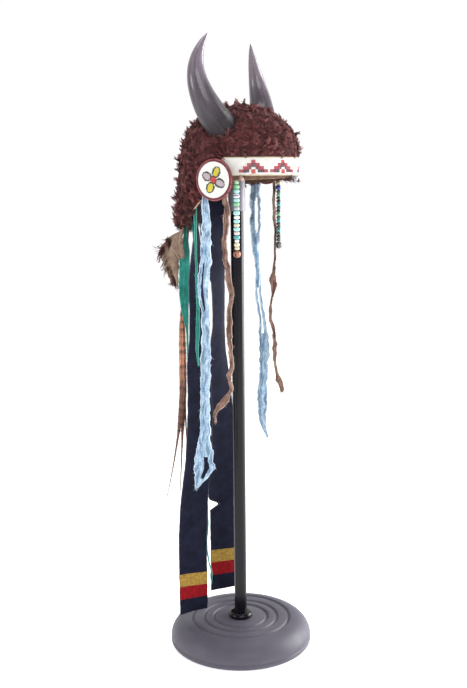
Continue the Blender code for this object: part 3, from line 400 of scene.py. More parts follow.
@dataclass(frozen=True)
class WoolFinish:
    """Curly wool: dark at the root, red-brown through the lock, paler at the tip, with painted shade and light in
    patches over the clumps.
    """

    name: str
    root: Colour = (0.020, 0.0055, 0.0065)
    body: Colour = (0.110, 0.026, 0.030)
    tip: Colour = (0.33, 0.120, 0.105)

    def material(self, shared: SharedEffects) -> bpy.types.Material:
        """Make the material from each lock's own attributes.

        Args:
            shared: The shared shader groups.

        Returns:
            The material.
        """
        material, wiring, shader = start_material(self.name, 0.62)
        along = wiring.add("ShaderNodeAttribute", attribute_name="along").outputs["Fac"]
        strand = wiring.add("ShaderNodeAttribute", attribute_name="strand").outputs["Fac"]
        lock = wiring.add("ShaderNodeAttribute", attribute_name="lock").outputs["Fac"]
        place = wiring.add("ShaderNodeTexCoord").outputs["Object"]
        # Painted shade and light: the wool's own uneven colour, pushed dark in patches that stand for the
        # crevices between clumps and pale on the clumps.
        mottling = place_group(wiring, shared.mottle, {
            "Vector": place, "Scale": 75.0, "Amount": 0.95,
            "Deep": (*(0.34 * part for part in self.body), 1.0),
            "Pale": (*(1.55 * part for part in self.body), 1.0)})
        low = wiring.blend(wiring.ramp(along, 0.05, 0.60), (*self.root, 1.0), mottling.outputs["Color"])
        chance = wiring.math("ADD", wiring.math("MULTIPLY", strand, 0.5), wiring.math("MULTIPLY", lock, 0.5))
        pale = wiring.math("MULTIPLY", wiring.ramp(along, 0.45, 1.0), wiring.ramp(chance, 0.30, 0.95))
        wiring.tree.links.new(wiring.blend(pale, low, (*self.tip, 1.0)), shader.inputs["Base Color"])
        fine = wiring.add("ShaderNodeTexNoise", {"Vector": place, "Scale": 1600.0, "Detail": 2.0})
        bump = wiring.add("ShaderNodeBump", {"Strength": 0.5, "Distance": 0.0003, "Height": fine.outputs[0]})
        wiring.tree.links.new(bump.outputs[0], shader.inputs["Normal"])
        shader.inputs["Sheen Weight"].default_value = 0.06
        shader.inputs["Specular IOR Level"].default_value = 0.25
        shader.inputs["Sheen Roughness"].default_value = 0.45
        shader.inputs["Sheen Tint"].default_value = (0.95, 0.72, 0.72, 1.0)
        return material


@dataclass(frozen=True)
class HideFinish:
    """Tanned hide: napped, mottled, with a pale worn grain."""

    name: str
    deep: Colour
    pale: Colour
    roughness: float = 0.85
    sheen: float = 0.2

    def material(self, shared: SharedEffects) -> bpy.types.Material:
        """Make the material.

        Args:
            shared: The shared shader groups.

        Returns:
            The material.
        """
        material, wiring, shader = start_material(self.name, self.roughness)
        place = wiring.add("ShaderNodeTexCoord").outputs["Object"]
        mottling = place_group(wiring, shared.mottle, {
            "Vector": place, "Scale": 55.0, "Amount": 0.8,
            "Deep": (*self.deep, 1.0), "Pale": (*self.pale, 1.0)})
        grain = place_group(wiring, shared.grain, {"Vector": place, "Scale": 800.0, "Wear": 0.5})
        worn = wiring.blend(grain.outputs["Mask"], mottling.outputs["Color"],
                            (*(min(1.0, 1.35 * part) for part in self.pale), 1.0))
        wiring.tree.links.new(worn, shader.inputs["Base Color"])
        bump = wiring.add("ShaderNodeBump", {"Strength": 0.6, "Distance": 0.0005,
                                             "Height": grain.outputs["Height"]})
        wiring.tree.links.new(bump.outputs[0], shader.inputs["Normal"])
        shader.inputs["Specular IOR Level"].default_value = 0.25
        shader.inputs["Sheen Weight"].default_value = self.sheen
        return material


@dataclass(frozen=True)
class ClothFinish:
    """Woven cloth, by the piece's own UV in metres: uneven colour, painted shade along creases, weave, frayed
    pale edges.
    """

    name: str
    deep: Colour
    pale: Colour
    edge: Colour
    threads: float = 900.0
    bump: float = 0.6
    sheen: float = 0.1
    painted_crease_shade: float = 0.0
    edge_width: float = 0.0012
    bands: tuple[tuple[float, float, Colour], ...] = ()

    def material(self, shared: SharedEffects) -> bpy.types.Material:
        """Make the material. The attribute rim is 0 at a torn edge and grows inwards in metres.

        Args:
            shared: The shared shader groups.

        Returns:
            The material.
        """
        material, wiring, shader = start_material(self.name, 0.9)
        flat = wiring.add("ShaderNodeUVMap", uv_map="UVMap").outputs[0]
        rim = wiring.add("ShaderNodeAttribute", attribute_name="rim").outputs["Fac"]
        weave = place_group(wiring, shared.weave, {"Vector": flat, "Threads": self.threads, "Slub": 0.5})
        mottling = place_group(wiring, shared.mottle, {
            "Vector": flat, "Scale": 48.0, "Amount": 0.75,
            "Deep": (*self.deep, 1.0), "Pale": (*self.pale, 1.0)})
        # Painted shade: stretched noise darkens the colour in lines along the strip, standing in for the shade in
        # its creases.
        drawn = wiring.add("ShaderNodeMapping", {"Vector": flat, "Scale": (230.0, 42.0, 1.0)})
        crease = wiring.add("ShaderNodeTexNoise", {"Vector": drawn.outputs[0], "Scale": 1.0, "Detail": 4.0,
                                                   "Distortion": 0.8})
        shade = wiring.math("MULTIPLY", wiring.ramp(crease.outputs[0], 0.46, 0.60), self.painted_crease_shade)
        colour = wiring.blend(shade, mottling.outputs["Color"], (*(0.50 * part for part in self.deep), 1.0))
        height = wiring.add("ShaderNodeSeparateXYZ", {0: flat}).outputs[1]
        for low, high, stripe in self.bands:
            inside = wiring.math("MULTIPLY", wiring.ramp(height, low - 0.0003, low + 0.0003),
                                 wiring.ramp(height, high + 0.0003, high - 0.0003))
            felt = place_group(wiring, shared.mottle, {
                "Vector": flat, "Scale": 160.0, "Amount": 0.9,
                "Deep": (*(0.62 * part for part in stripe), 1.0),
                "Pale": (*(min(1.0, 1.30 * part) for part in stripe), 1.0)})
            colour = wiring.blend(inside, colour, felt.outputs["Color"])
        rough_edge = wiring.add("ShaderNodeTexNoise", {"Vector": flat, "Scale": 420.0, "Detail": 3.0})
        limit = wiring.math("MULTIPLY", rough_edge.outputs[0], 2.0 * self.edge_width)
        frayed = wiring.math("GREATER_THAN", limit, rim)
        colour = wiring.blend(wiring.math("MULTIPLY", frayed, 0.8), colour, (*self.edge, 1.0))
        wiring.tree.links.new(colour, shader.inputs["Base Color"])
        bump = wiring.add("ShaderNodeBump", {"Strength": self.bump, "Distance": 0.0005,
                                             "Height": weave.outputs["Height"]})
        wiring.tree.links.new(bump.outputs[0], shader.inputs["Normal"])
        shader.inputs["Specular IOR Level"].default_value = 0.2
        shader.inputs["Sheen Weight"].default_value = self.sheen
        shader.inputs["Sheen Roughness"].default_value = 0.5
        return material


@dataclass(frozen=True)
class TintFinish:
    """A finish that takes its colour from the piece's tone attribute, for beads and threads."""

    name: str
    roughness: float
    metallic: float = 0.0
    coat: float = 0.0
    fleck: float = 0.12

    def material(self, shared: SharedEffects) -> bpy.types.Material:
        """Make the material.

        Args:
            shared: The shared shader groups.

        Returns:
            The material.
        """
        material, wiring, shader = start_material(self.name, self.roughness, self.metallic)
        tone = wiring.add("ShaderNodeAttribute", attribute_name="tone").outputs["Color"]
        place = wiring.add("ShaderNodeTexCoord").outputs["Object"]
        mottling = place_group(wiring, shared.mottle, {
            "Vector": place, "Scale": 320.0, "Amount": 0.5,
            "Deep": (1.0 - 2 * self.fleck, 1.0 - 2 * self.fleck, 1.0 - 2 * self.fleck, 1.0),
            "Pale": (1.0, 1.0, 1.0, 1.0)})
        tinted = wiring.add("ShaderNodeMix", {0: 1.0, 6: tone, 7: mottling.outputs["Color"]},
                            data_type="RGBA", blend_type="MULTIPLY")
        wiring.tree.links.new(tinted.outputs[2], shader.inputs["Base Color"])
        rough = wiring.math("ADD", wiring.math("MULTIPLY", mottling.outputs["Mask"], 0.12), self.roughness)
        wiring.tree.links.new(rough, shader.inputs["Roughness"])
        shader.inputs["Coat Weight"].default_value = self.coat
        shader.inputs["Coat Roughness"].default_value = 0.1
        return material


class Finishes:
    """Every material of the headdress and its stand."""

    def __init__(self) -> None:
        """Make them all once."""
        shared = SharedEffects()
        self.base_paint = PaintFinish("charcoal_base_paint", (0.068, 0.062, 0.086), 0.50, 0.35).material(shared)
        self.pole_paint = PaintFinish("satin_black_paint", (0.004, 0.003, 0.006), 0.18, 0.05,
                                      specular=0.24).material(shared)
        self.pewter = PaintFinish("pewter_sleeve", (0.19, 0.185, 0.215), 0.45, 0.1, 0.30).material(shared)
        self.horn = HornFinish().material(shared)
        self.wool = WoolFinish("buffalo_wool").material(shared)
        self.wool_ground = HideFinish("wool_undercoat", (0.016, 0.0045, 0.0055), (0.100, 0.027, 0.028),
                                      0.95, sheen=0.0).material(shared)
        self.hide = HideFinish("brown_hide", (0.060, 0.032, 0.022), (0.16, 0.090, 0.060)).material(shared)
        self.raw_edge = HideFinish("raw_hide_edge", (0.34, 0.19, 0.11), (0.62, 0.42, 0.29)).material(shared)
        self.suede = HideFinish("tan_suede", (0.10, 0.062, 0.044), (0.33, 0.23, 0.165)).material(shared)
        self.buckskin = HideFinish("pale_buckskin", (0.52, 0.47, 0.40), (0.84, 0.80, 0.73)).material(shared)
        self.edging = HideFinish("red_brown_edging", (0.070, 0.014, 0.015), (0.22, 0.050, 0.048)).material(shared)
        self.seed_beads = TintFinish("seed_beads", 0.30, coat=0.25, fleck=0.05).material(shared)
        self.glass_beads = TintFinish("glass_beads", 0.12, coat=0.7, fleck=0.10).material(shared)
        self.bells = TintFinish("tarnished_bells", 0.38, metallic=0.75, fleck=0.22).material(shared)
        self.thread = TintFinish("thread", 0.9, fleck=0.15).material(shared)
        self.barbs = TintFinish("feather_barbs", 0.55, fleck=0.14).material(shared)
        self.blue = ClothFinish("washed_blue_cotton", (0.16, 0.28, 0.44), (0.58, 0.74, 0.88),
                                (0.66, 0.77, 0.86), painted_crease_shade=0.75, edge_width=0.0011).material(shared)
        self.tan = ClothFinish("tea_brown_muslin", (0.13, 0.068, 0.054), (0.37, 0.225, 0.175),
                               (0.50, 0.38, 0.32), painted_crease_shade=0.80, edge_width=0.0011).material(shared)
        self.teal = ClothFinish("teal_cotton", (0.008, 0.115, 0.095), (0.028, 0.29, 0.235),
                                (0.10, 0.42, 0.35), painted_crease_shade=0.4).material(shared)
        stripes = ((0.0570, 0.0815, (0.33, 0.205, 0.042)), (0.0310, 0.0570, (0.25, 0.004, 0.009)))
        self.navy = ClothFinish("navy_trade_cloth", (0.0032, 0.0040, 0.012), (0.0095, 0.011, 0.030),
                                (0.10, 0.10, 0.13), threads=620.0, bump=0.8, sheen=0.0,
                                edge_width=0.0007, bands=stripes).material(shared)


class MeshDraft:
    """Points and faces gathered for one mesh, with per-point numbers and colours."""

    def __init__(self) -> None:
        """Start empty."""
        self.points: list[Vector] = []
        self.faces: list[tuple[int, ...]] = []
        self.values: dict[str, list[float]] = {}
        self.colours: list[Colour] = []
        self.uvs: list[tuple[float, float]] = []

    def grid(self, rows: list[list[Vector]], closed: bool = False) -> int:
        """Add a grid of points.

        Args:
            rows: Rows of equal length.
            closed: Whether each row's end joins its start.

        Returns:
            The index of the grid's first point.
        """
        start = len(self.points)
        width = len(rows[0])
        for row in rows:
            self.points.extend(row)
        for i in range(len(rows) - 1):
            for j in range(width if closed else width - 1):
                near = start + i * width + j
                side = start + i * width + (j + 1) % width
                self.faces.append((near, side, side + width, near + width))
        return start

    def tube(self, path: list[Vector], radii: list[float], sides: int = 3) -> None:
        """Add a closed tube along a path, with flat ends."""
        start = len(self.points)
        for i, point in enumerate(path):
            ahead = path[min(i + 1, len(path) - 1)] - path[max(i - 1, 0)]
            ahead = ahead.normalized() if ahead.length > 1e-9 else UP
            spare = Vector((1.0, 0.0, 0.0)) if abs(ahead.x) < 0.8 else Vector((0.0, 1.0, 0.0))
            across = ahead.cross(spare).normalized()
            other = ahead.cross(across)
            for k in range(sides):
                turn = 2 * math.pi * k / sides
                self.points.append(point + (across * math.cos(turn) + other * math.sin(turn)) * radii[i])
        for i in range(len(path) - 1):
            for k in range(sides):
                near = start + i * sides + k
                side = start + i * sides + (k + 1) % sides
                self.faces.append((near, side, side + sides, near + sides))
        self.faces.append(tuple(reversed(range(start, start + sides))))
        last = start + (len(path) - 1) * sides
        self.faces.append(tuple(range(last, last + sides)))

    def finish(self, name: str, material: bpy.types.Material | None = None, smooth: bool = True,
               outwards: bool = True) -> bpy.types.Object:
        """Make the object.

        Args:
            name: Its name.
            material: Its material, if it has one yet.
            smooth: Whether to shade it smooth.
            outwards: Whether to turn its faces outwards.

        Returns:
            The object.
        """
        mesh = bpy.data.meshes.new(name)
        mesh.from_pydata([tuple(point) for point in self.points], [], self.faces)
        for label, numbers in self.values.items():
            layer = mesh.attributes.new(label, "FLOAT", "POINT")
            layer.data.foreach_set("value", numbers)
        if self.colours:
            layer = mesh.attributes.new("tone", "FLOAT_COLOR", "POINT")
            layer.data.foreach_set("color", [part for colour in self.colours for part in (*colour, 1.0)])
        if self.uvs:
            layer = mesh.uv_layers.new(name="UVMap")
            for loop in mesh.loops:
                layer.data[loop.index].uv = self.uvs[loop.vertex_index]
        if outwards:
            body = bmesh.new()
            body.from_mesh(mesh)
            bmesh.ops.recalc_face_normals(body, faces=body.faces)
            body.to_mesh(mesh)
            body.free()
        if smooth:
            mesh.shade_smooth()
        piece = bpy.data.objects.new(name, mesh)
        if material is not None:
            mesh.materials.append(material)
        bpy.context.scene.collection.objects.link(piece)
        return piece


def turned(name: str, profile: list[tuple[float, float]], steps: int, material: bpy.types.Material,
           sharp: float = 32.0) -> bpy.types.Object:
    """Turn a profile about the Z axis.

    Args:
        name: The piece's name.
        profile: Pairs of radius and height, from one end on the axis to the other, or a ring.
        steps: How many facets go round.
        material: Its material.
        sharp: Edges over this angle in degrees are shaded sharp.

    Returns:
        The piece.
    """
    draft = MeshDraft()
    is_ring = profile[0] == profile[-1]
    rows = []
    for radius, height in profile:
        if radius > 0.0:
            rows.append([Vector((radius * math.cos(2 * math.pi * k / steps),
                                 radius * math.sin(2 * math.pi * k / steps), height)) for k in range(steps)])
    if is_ring:
        rows = rows[:-1]
    start = draft.grid(rows, closed=True)
    last = start + (len(rows) - 1) * steps
    if is_ring:
        for k in range(steps):
            side = (k + 1) % steps
            draft.faces.append((last + k, last + side, start + side, start + k))
    else:
        for ring, height in ((start, profile[0][1]), (last, profile[-1][1])):
            pole = len(draft.points)
            draft.points.append(Vector((0.0, 0.0, height)))
            for k in range(steps):
                draft.faces.append((ring + k, ring + (k + 1) % steps, pole))
    piece = draft.finish(name, material)
    piece.data.set_sharp_from_angle(angle=math.radians(sharp))
    return piece


def arc(centre: tuple[float, float], radius: float, start: float, end: float, steps: int) -> list:
    """Points of an arc in a turned profile, angles in degrees from outwards to up."""
    turns = [math.radians(mix(start, end, i / steps)) for i in range(steps + 1)]
    return [(centre[0] + radius * math.cos(t), centre[1] + radius * math.sin(t)) for t in turns]


def settle(piece: bpy.types.Object, nodes: tuple[str, ...]) -> bpy.types.Object:
    """Fix a piece to the body, in place of CAD nodes.

    Args:
        piece: The finished piece.
        nodes: The CAD nodes that it stands for, or none.

    Returns:
        The piece.
    """
    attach(piece, "root")
    if nodes:
        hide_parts(*nodes)
    piece.data.calc_loop_triangles()
    LOG.info("%s: %d triangles", piece.name, len(piece.data.loop_triangles))
    return piece


class GrowTree:
    """A Geometry Nodes tree with named inputs, run once on a source mesh."""

    def __init__(self, name: str, inputs: dict[str, tuple[str, object]]) -> None:
        """Start the tree.

        Args:
            name: The tree's name.
            inputs: Socket name to its type and default.
        """
        self.tree = bpy.data.node_groups.new(name, "GeometryNodeTree")
        self.tree.interface.new_socket("Geometry", in_out="INPUT", socket_type="NodeSocketGeometry")
        for label, (kind, value) in inputs.items():
            socket = self.tree.interface.new_socket(label, in_out="INPUT", socket_type="NodeSocket" + kind)
            if value is not None:
                socket.default_value = value
        self.tree.interface.new_socket("Geometry", in_out="OUTPUT", socket_type="NodeSocketGeometry")
        self.wiring = Wiring(self.tree)
        self.start = self.wiring.add("NodeGroupInput")
        self.end = self.wiring.add("NodeGroupOutput")

    def close(self, instances: bpy.types.NodeSocket) -> None:
        """End the tree: real meshes with the material set."""
        real = self.wiring.add("GeometryNodeRealizeInstances", {0: instances})
        dressed = self.wiring.add("GeometryNodeSetMaterial", {0: real.outputs[0],
                                                             "Material": self.start.outputs["Material"]})
        self.tree.links.new(dressed.outputs[0], self.end.inputs[0])

    def run(self, name: str, source: bpy.types.Object, inputs: dict[str, object]) -> bpy.types.Object:
        """Run the tree on a source, which it uses up.

        Args:
            name: The new piece's name.
            source: The object whose mesh goes in.
            inputs: Values by socket name.

        Returns:
            The result as a plain mesh.
        """
        modifier = source.modifiers.new("grow", "NODES")
        modifier.node_group = self.tree
        for item in self.tree.interface.items_tree:
            if item.in_out == "INPUT" and item.name in inputs:
                modifier[item.identifier] = inputs[item.name]
        seen = source.evaluated_get(bpy.context.evaluated_depsgraph_get())
        mesh = bpy.data.meshes.new_from_object(seen, preserve_all_data_layers=True,
                                               depsgraph=bpy.context.evaluated_depsgraph_get())
        source.modifiers.remove(modifier)
        bpy.data.objects.remove(source, do_unlink=True)
        mesh.name = name
        for label in ("turn", "size", "kind", "pile"):
            if label in mesh.attributes:
                mesh.attributes.remove(mesh.attributes[label])
        piece = bpy.data.objects.new(name, mesh)
        bpy.context.scene.collection.objects.link(piece)
        return piece


def make_planting_tree() -> GrowTree:
    """A tree that sets small parts on points, by the points' own turn, size and kind."""
    grow = GrowTree("set_on_points", {"Parts": ("Collection", None), "Scale": ("Float", 1.0),
                                      "Jitter": ("Float", 0.06), "Seed": ("Int", 3),
                                      "Material": ("Material", None)})
    wiring, start = grow.wiring, grow.start
    turn = wiring.add("GeometryNodeInputNamedAttribute", {0: "turn"}, data_type="FLOAT_VECTOR")
    size = wiring.add("GeometryNodeInputNamedAttribute", {0: "size"}, data_type="FLOAT_VECTOR")
    kind = wiring.add("GeometryNodeInputNamedAttribute", {0: "kind"}, data_type="INT")
    rotation = wiring.add("FunctionNodeEulerToRotation", {0: turn.outputs["Attribute"]})
    low = wiring.math("SUBTRACT", 1.0, start.outputs["Jitter"])
    high = wiring.math("ADD", 1.0, start.outputs["Jitter"])
    chance = wiring.add("FunctionNodeRandomValue", {2: low, 3: high, "Seed": start.outputs["Seed"]},
                        data_type="FLOAT")
    amount = wiring.math("MULTIPLY", chance.outputs[1], start.outputs["Scale"])
    scale = wiring.add("ShaderNodeVectorMath", {0: size.outputs["Attribute"], "Scale": amount},
                       operation="SCALE")
    parts = wiring.add("GeometryNodeCollectionInfo", {0: start.outputs["Parts"], 1: True, 2: True})
    placed = wiring.add("GeometryNodeInstanceOnPoints", {
        "Points": start.outputs["Geometry"], "Instance": parts.outputs[0], "Pick Instance": True,
        "Instance Index": kind.outputs["Attribute"], "Rotation": rotation.outputs[0],
        "Scale": scale.outputs[0]})
    grow.close(placed.outputs[0])
    return grow


def make_wool_tree() -> GrowTree:
    """A tree that sows curled locks over a skin, longer where its pile is deep."""
    grow = GrowTree("sow_locks", {"Spacing": ("Float", 0.009), "Length": ("Float", 1.0),
                                  "Comb": ("Vector", (0.0, 0.0, -0.6)), "Tousle": ("Float", 0.8),
                                  "Seed": ("Int", 5), "Kinds": ("Int", 5), "Parts": ("Collection", None),
                                  "Material": ("Material", None)})
    wiring, start = grow.wiring, grow.start
    close = wiring.math("DIVIDE", 1.0, wiring.math("MULTIPLY", start.outputs["Spacing"],
                                                   start.outputs["Spacing"]))
    sown = wiring.add("GeometryNodeDistributePointsOnFaces", {
        "Mesh": start.outputs["Geometry"], "Distance Min": start.outputs["Spacing"],
        "Density Max": wiring.math("MULTIPLY", close, 4.0), "Seed": start.outputs["Seed"]},
        distribute_method="POISSON")
    tousle = wiring.add("FunctionNodeRandomValue", {0: (-1.0, -1.0, -1.0), 1: (1.0, 1.0, 1.0),
                                                    "Seed": start.outputs["Seed"]},
                        data_type="FLOAT_VECTOR")
    swayed = wiring.add("ShaderNodeVectorMath", {0: tousle.outputs[0], "Scale": start.outputs["Tousle"]},
                        operation="SCALE")
    lean = wiring.add("ShaderNodeVectorMath", {0: sown.outputs["Normal"], 1: start.outputs["Comb"]},
                      operation="ADD")
    aim = wiring.add("ShaderNodeVectorMath", {0: lean.outputs[0], 1: swayed.outputs[0]}, operation="ADD")
    spin = wiring.add("FunctionNodeRandomValue", {2: 0.0, 3: 2 * math.pi,
                                                  "Seed": wiring.math("ADD", start.outputs["Seed"], 7.0)},
                      data_type="FLOAT")
    spin_turn = wiring.add("ShaderNodeCombineXYZ", {2: spin.outputs[1]})
    spun = wiring.add("FunctionNodeEulerToRotation", {0: spin_turn.outputs[0]})
    aimed = wiring.add("FunctionNodeAlignRotationToVector", {"Rotation": spun.outputs[0],
                                                            "Vector": aim.outputs[0]}, axis="Z")
    pile = wiring.add("GeometryNodeInputNamedAttribute", {0: "pile"}, data_type="FLOAT")
    spread = wiring.add("FunctionNodeRandomValue", {2: 0.75, 3: 1.2,
                                                    "Seed": wiring.math("ADD", start.outputs["Seed"], 13.0)},
                        data_type="FLOAT")
    tall = wiring.math("MULTIPLY", wiring.math("MULTIPLY", pile.outputs["Attribute"], spread.outputs[1]),
                       start.outputs["Length"])
    wide = wiring.math("MULTIPLY", wiring.math("ADD", wiring.math("MULTIPLY", tall, 0.35), 0.72),
                       spread.outputs[1])
    scale = wiring.add("ShaderNodeCombineXYZ", {0: wide, 1: wide, 2: tall}).outputs[0]
    kind = wiring.add("FunctionNodeRandomValue", {4: 0, 5: wiring.math("SUBTRACT", start.outputs["Kinds"], 1.0),
                                                  "Seed": start.outputs["Seed"]}, data_type="INT")
    parts = wiring.add("GeometryNodeCollectionInfo", {0: start.outputs["Parts"], 1: True, 2: True})
    placed = wiring.add("GeometryNodeInstanceOnPoints", {
        "Points": sown.outputs["Points"], "Instance": parts.outputs[0], "Pick Instance": True,
        "Instance Index": kind.outputs[2], "Rotation": aimed.outputs[0], "Scale": scale})
    shade = wiring.add("FunctionNodeRandomValue", {2: 0.0, 3: 1.0,
                                                   "Seed": wiring.math("ADD", start.outputs["Seed"], 21.0)},
                       data_type="FLOAT")
    marked = wiring.add("GeometryNodeStoreNamedAttribute", {0: placed.outputs[0], "Name": "lock",
                                                           "Value": shade.outputs[1]},
                        data_type="FLOAT", domain="INSTANCE")
    grow.close(marked.outputs[0])
    return grow


def plant(grow: GrowTree, name: str, spots: list[dict], parts: bpy.types.Collection,
          material: bpy.types.Material, jitter: float = 0.06) -> bpy.types.Object:
    """Set small parts on spots.

    Args:
        grow: The planting tree.
        name: The new piece's name.
        spots: Each with its place, turn, size, tone and kind.
        parts: The collection of parts to pick from.
        material: Their material.
        jitter: How much their sizes vary.

    Returns:
        The piece.
    """
    mesh = bpy.data.meshes.new(name + "_spots")
    mesh.from_pydata([tuple(spot["place"]) for spot in spots], [], [])
    for label, kind, count in (("turn", "FLOAT_VECTOR", "vector"), ("size", "FLOAT_VECTOR", "vector")):
        layer = mesh.attributes.new(label, kind, "POINT")
        layer.data.foreach_set(count, [part for spot in spots for part in spot[label]])
    layer = mesh.attributes.new("kind", "INT", "POINT")
    layer.data.foreach_set("value", [spot.get("kind", 0) for spot in spots])
    layer = mesh.attributes.new("tone", "FLOAT_COLOR", "POINT")
    layer.data.foreach_set("color", [part for spot in spots for part in (*spot["tone"], 1.0)])
    source = bpy.data.objects.new(name + "_spots", mesh)
    bpy.context.scene.collection.objects.link(source)
    return grow.run(name, source, {"Parts": parts, "Material": material, "Jitter": jitter})


def make_parts(name: str, pieces: list[bpy.types.Object]) -> bpy.types.Collection:
    """Put small parts in a collection of their own, off the scene."""
    collection = bpy.data.collections.new(name)
    for piece in pieces:
        bpy.context.scene.collection.objects.unlink(piece)
        collection.objects.link(piece)
    return collection


def turn_of(across: Vector, along: Vector) -> Euler:
    """The rotation that takes X to across and Z as near to along as it can."""
    side = across.normalized()
    front = along.cross(side).normalized()
    rise = side.cross(front)
    return Matrix((side, front, rise)).transposed().to_euler()


@dataclass(frozen=True)
class HeadForm:
    """The oval head form that the cap follows, the same as in the solids."""

    half_width: float = 0.078
    half_length: float = 0.098
    setback: float = -0.008
    rim: float = 0.836
    rise: float = 0.102
    squareness: float = 2.6
    wall: float = 0.0025
    flap_drop: float = 0.086
    flap_flare: float = 0.065
    edge: Table = ((-180, 1.00), (-165, 0.94), (-150, 0.72), (-130, 0.34), (-110, 0.14), (-72, 0.08),
                   (0, 0.05), (72, 0.08), (84, 0.12), (96, 0.30), (112, 0.50), (130, 0.80), (150, 0.97),
                   (180, 1.00))

    def wrap(self, angle: float) -> float:
        """Bring an angle to between -180 and 180 degrees."""
        return (angle + 180.0) % 360.0 - 180.0

    def drop(self, angle: float) -> float:
        """How far the hide's lower edge lies below the rim."""
        return self.flap_drop * read_table(self.edge, self.wrap(angle))

    def point(self, angle: float, place: float, offset: float, drop: float) -> Vector:
        """A point on the form.

        Args:
            angle: From the forehead towards the wearer's right, in degrees.
            place: From -1 at the lower edge through 0 at the rim to 1 at the crown.
            offset: How far out from the hide's inner face.
            drop: How far the lower edge lies below the rim.

        Returns:
            The point.
        """
        turn = math.radians(angle)
        if place >= 0.0:
            climb = place * math.pi / 2
            spread = max(math.cos(climb), 0.0) ** (2 / self.squareness)
            height = self.rim + (self.rise + offset) * math.sin(climb) ** (2 / self.squareness)
        else:
            back = max(0.0, -math.cos(turn))
            spread = 1.0 + self.flap_flare * back * (-place * drop / self.flap_drop)
            height = self.rim + place * drop
        return Vector((-(self.half_width + offset) * spread * math.sin(turn),
                       self.setback - (self.half_length + offset) * spread * math.cos(turn), height))

    def place_at(self, height: float, offset: float) -> float:
        """The place on the dome at a height."""
        share = (height - self.rim) / (self.rise + offset)
        return math.asin(min(1.0, max(0.0, share) ** (self.squareness / 2))) / (math.pi / 2)

    def at_height(self, angle: float, height: float, offset: float) -> Vector:
        """A point on the wall at a height."""
        if height >= self.rim:
            return self.point(angle, self.place_at(height, offset), offset, self.flap_drop)
        return self.point(angle, (height - self.rim) / self.flap_drop, offset, self.flap_drop)

    def outward(self, angle: float, height: float) -> Vector:
        """The way out from the wall at a height."""
        here = self.at_height(angle, height, self.wall)
        along = self.at_height(angle + 1.0, height, self.wall) - here
        rise = self.at_height(angle, height + 0.001, self.wall) - here
        way = along.cross(rise).normalized()
        middle = Vector((0.0, self.setback, height))
        return way if way.dot(here - middle) > 0 else -way


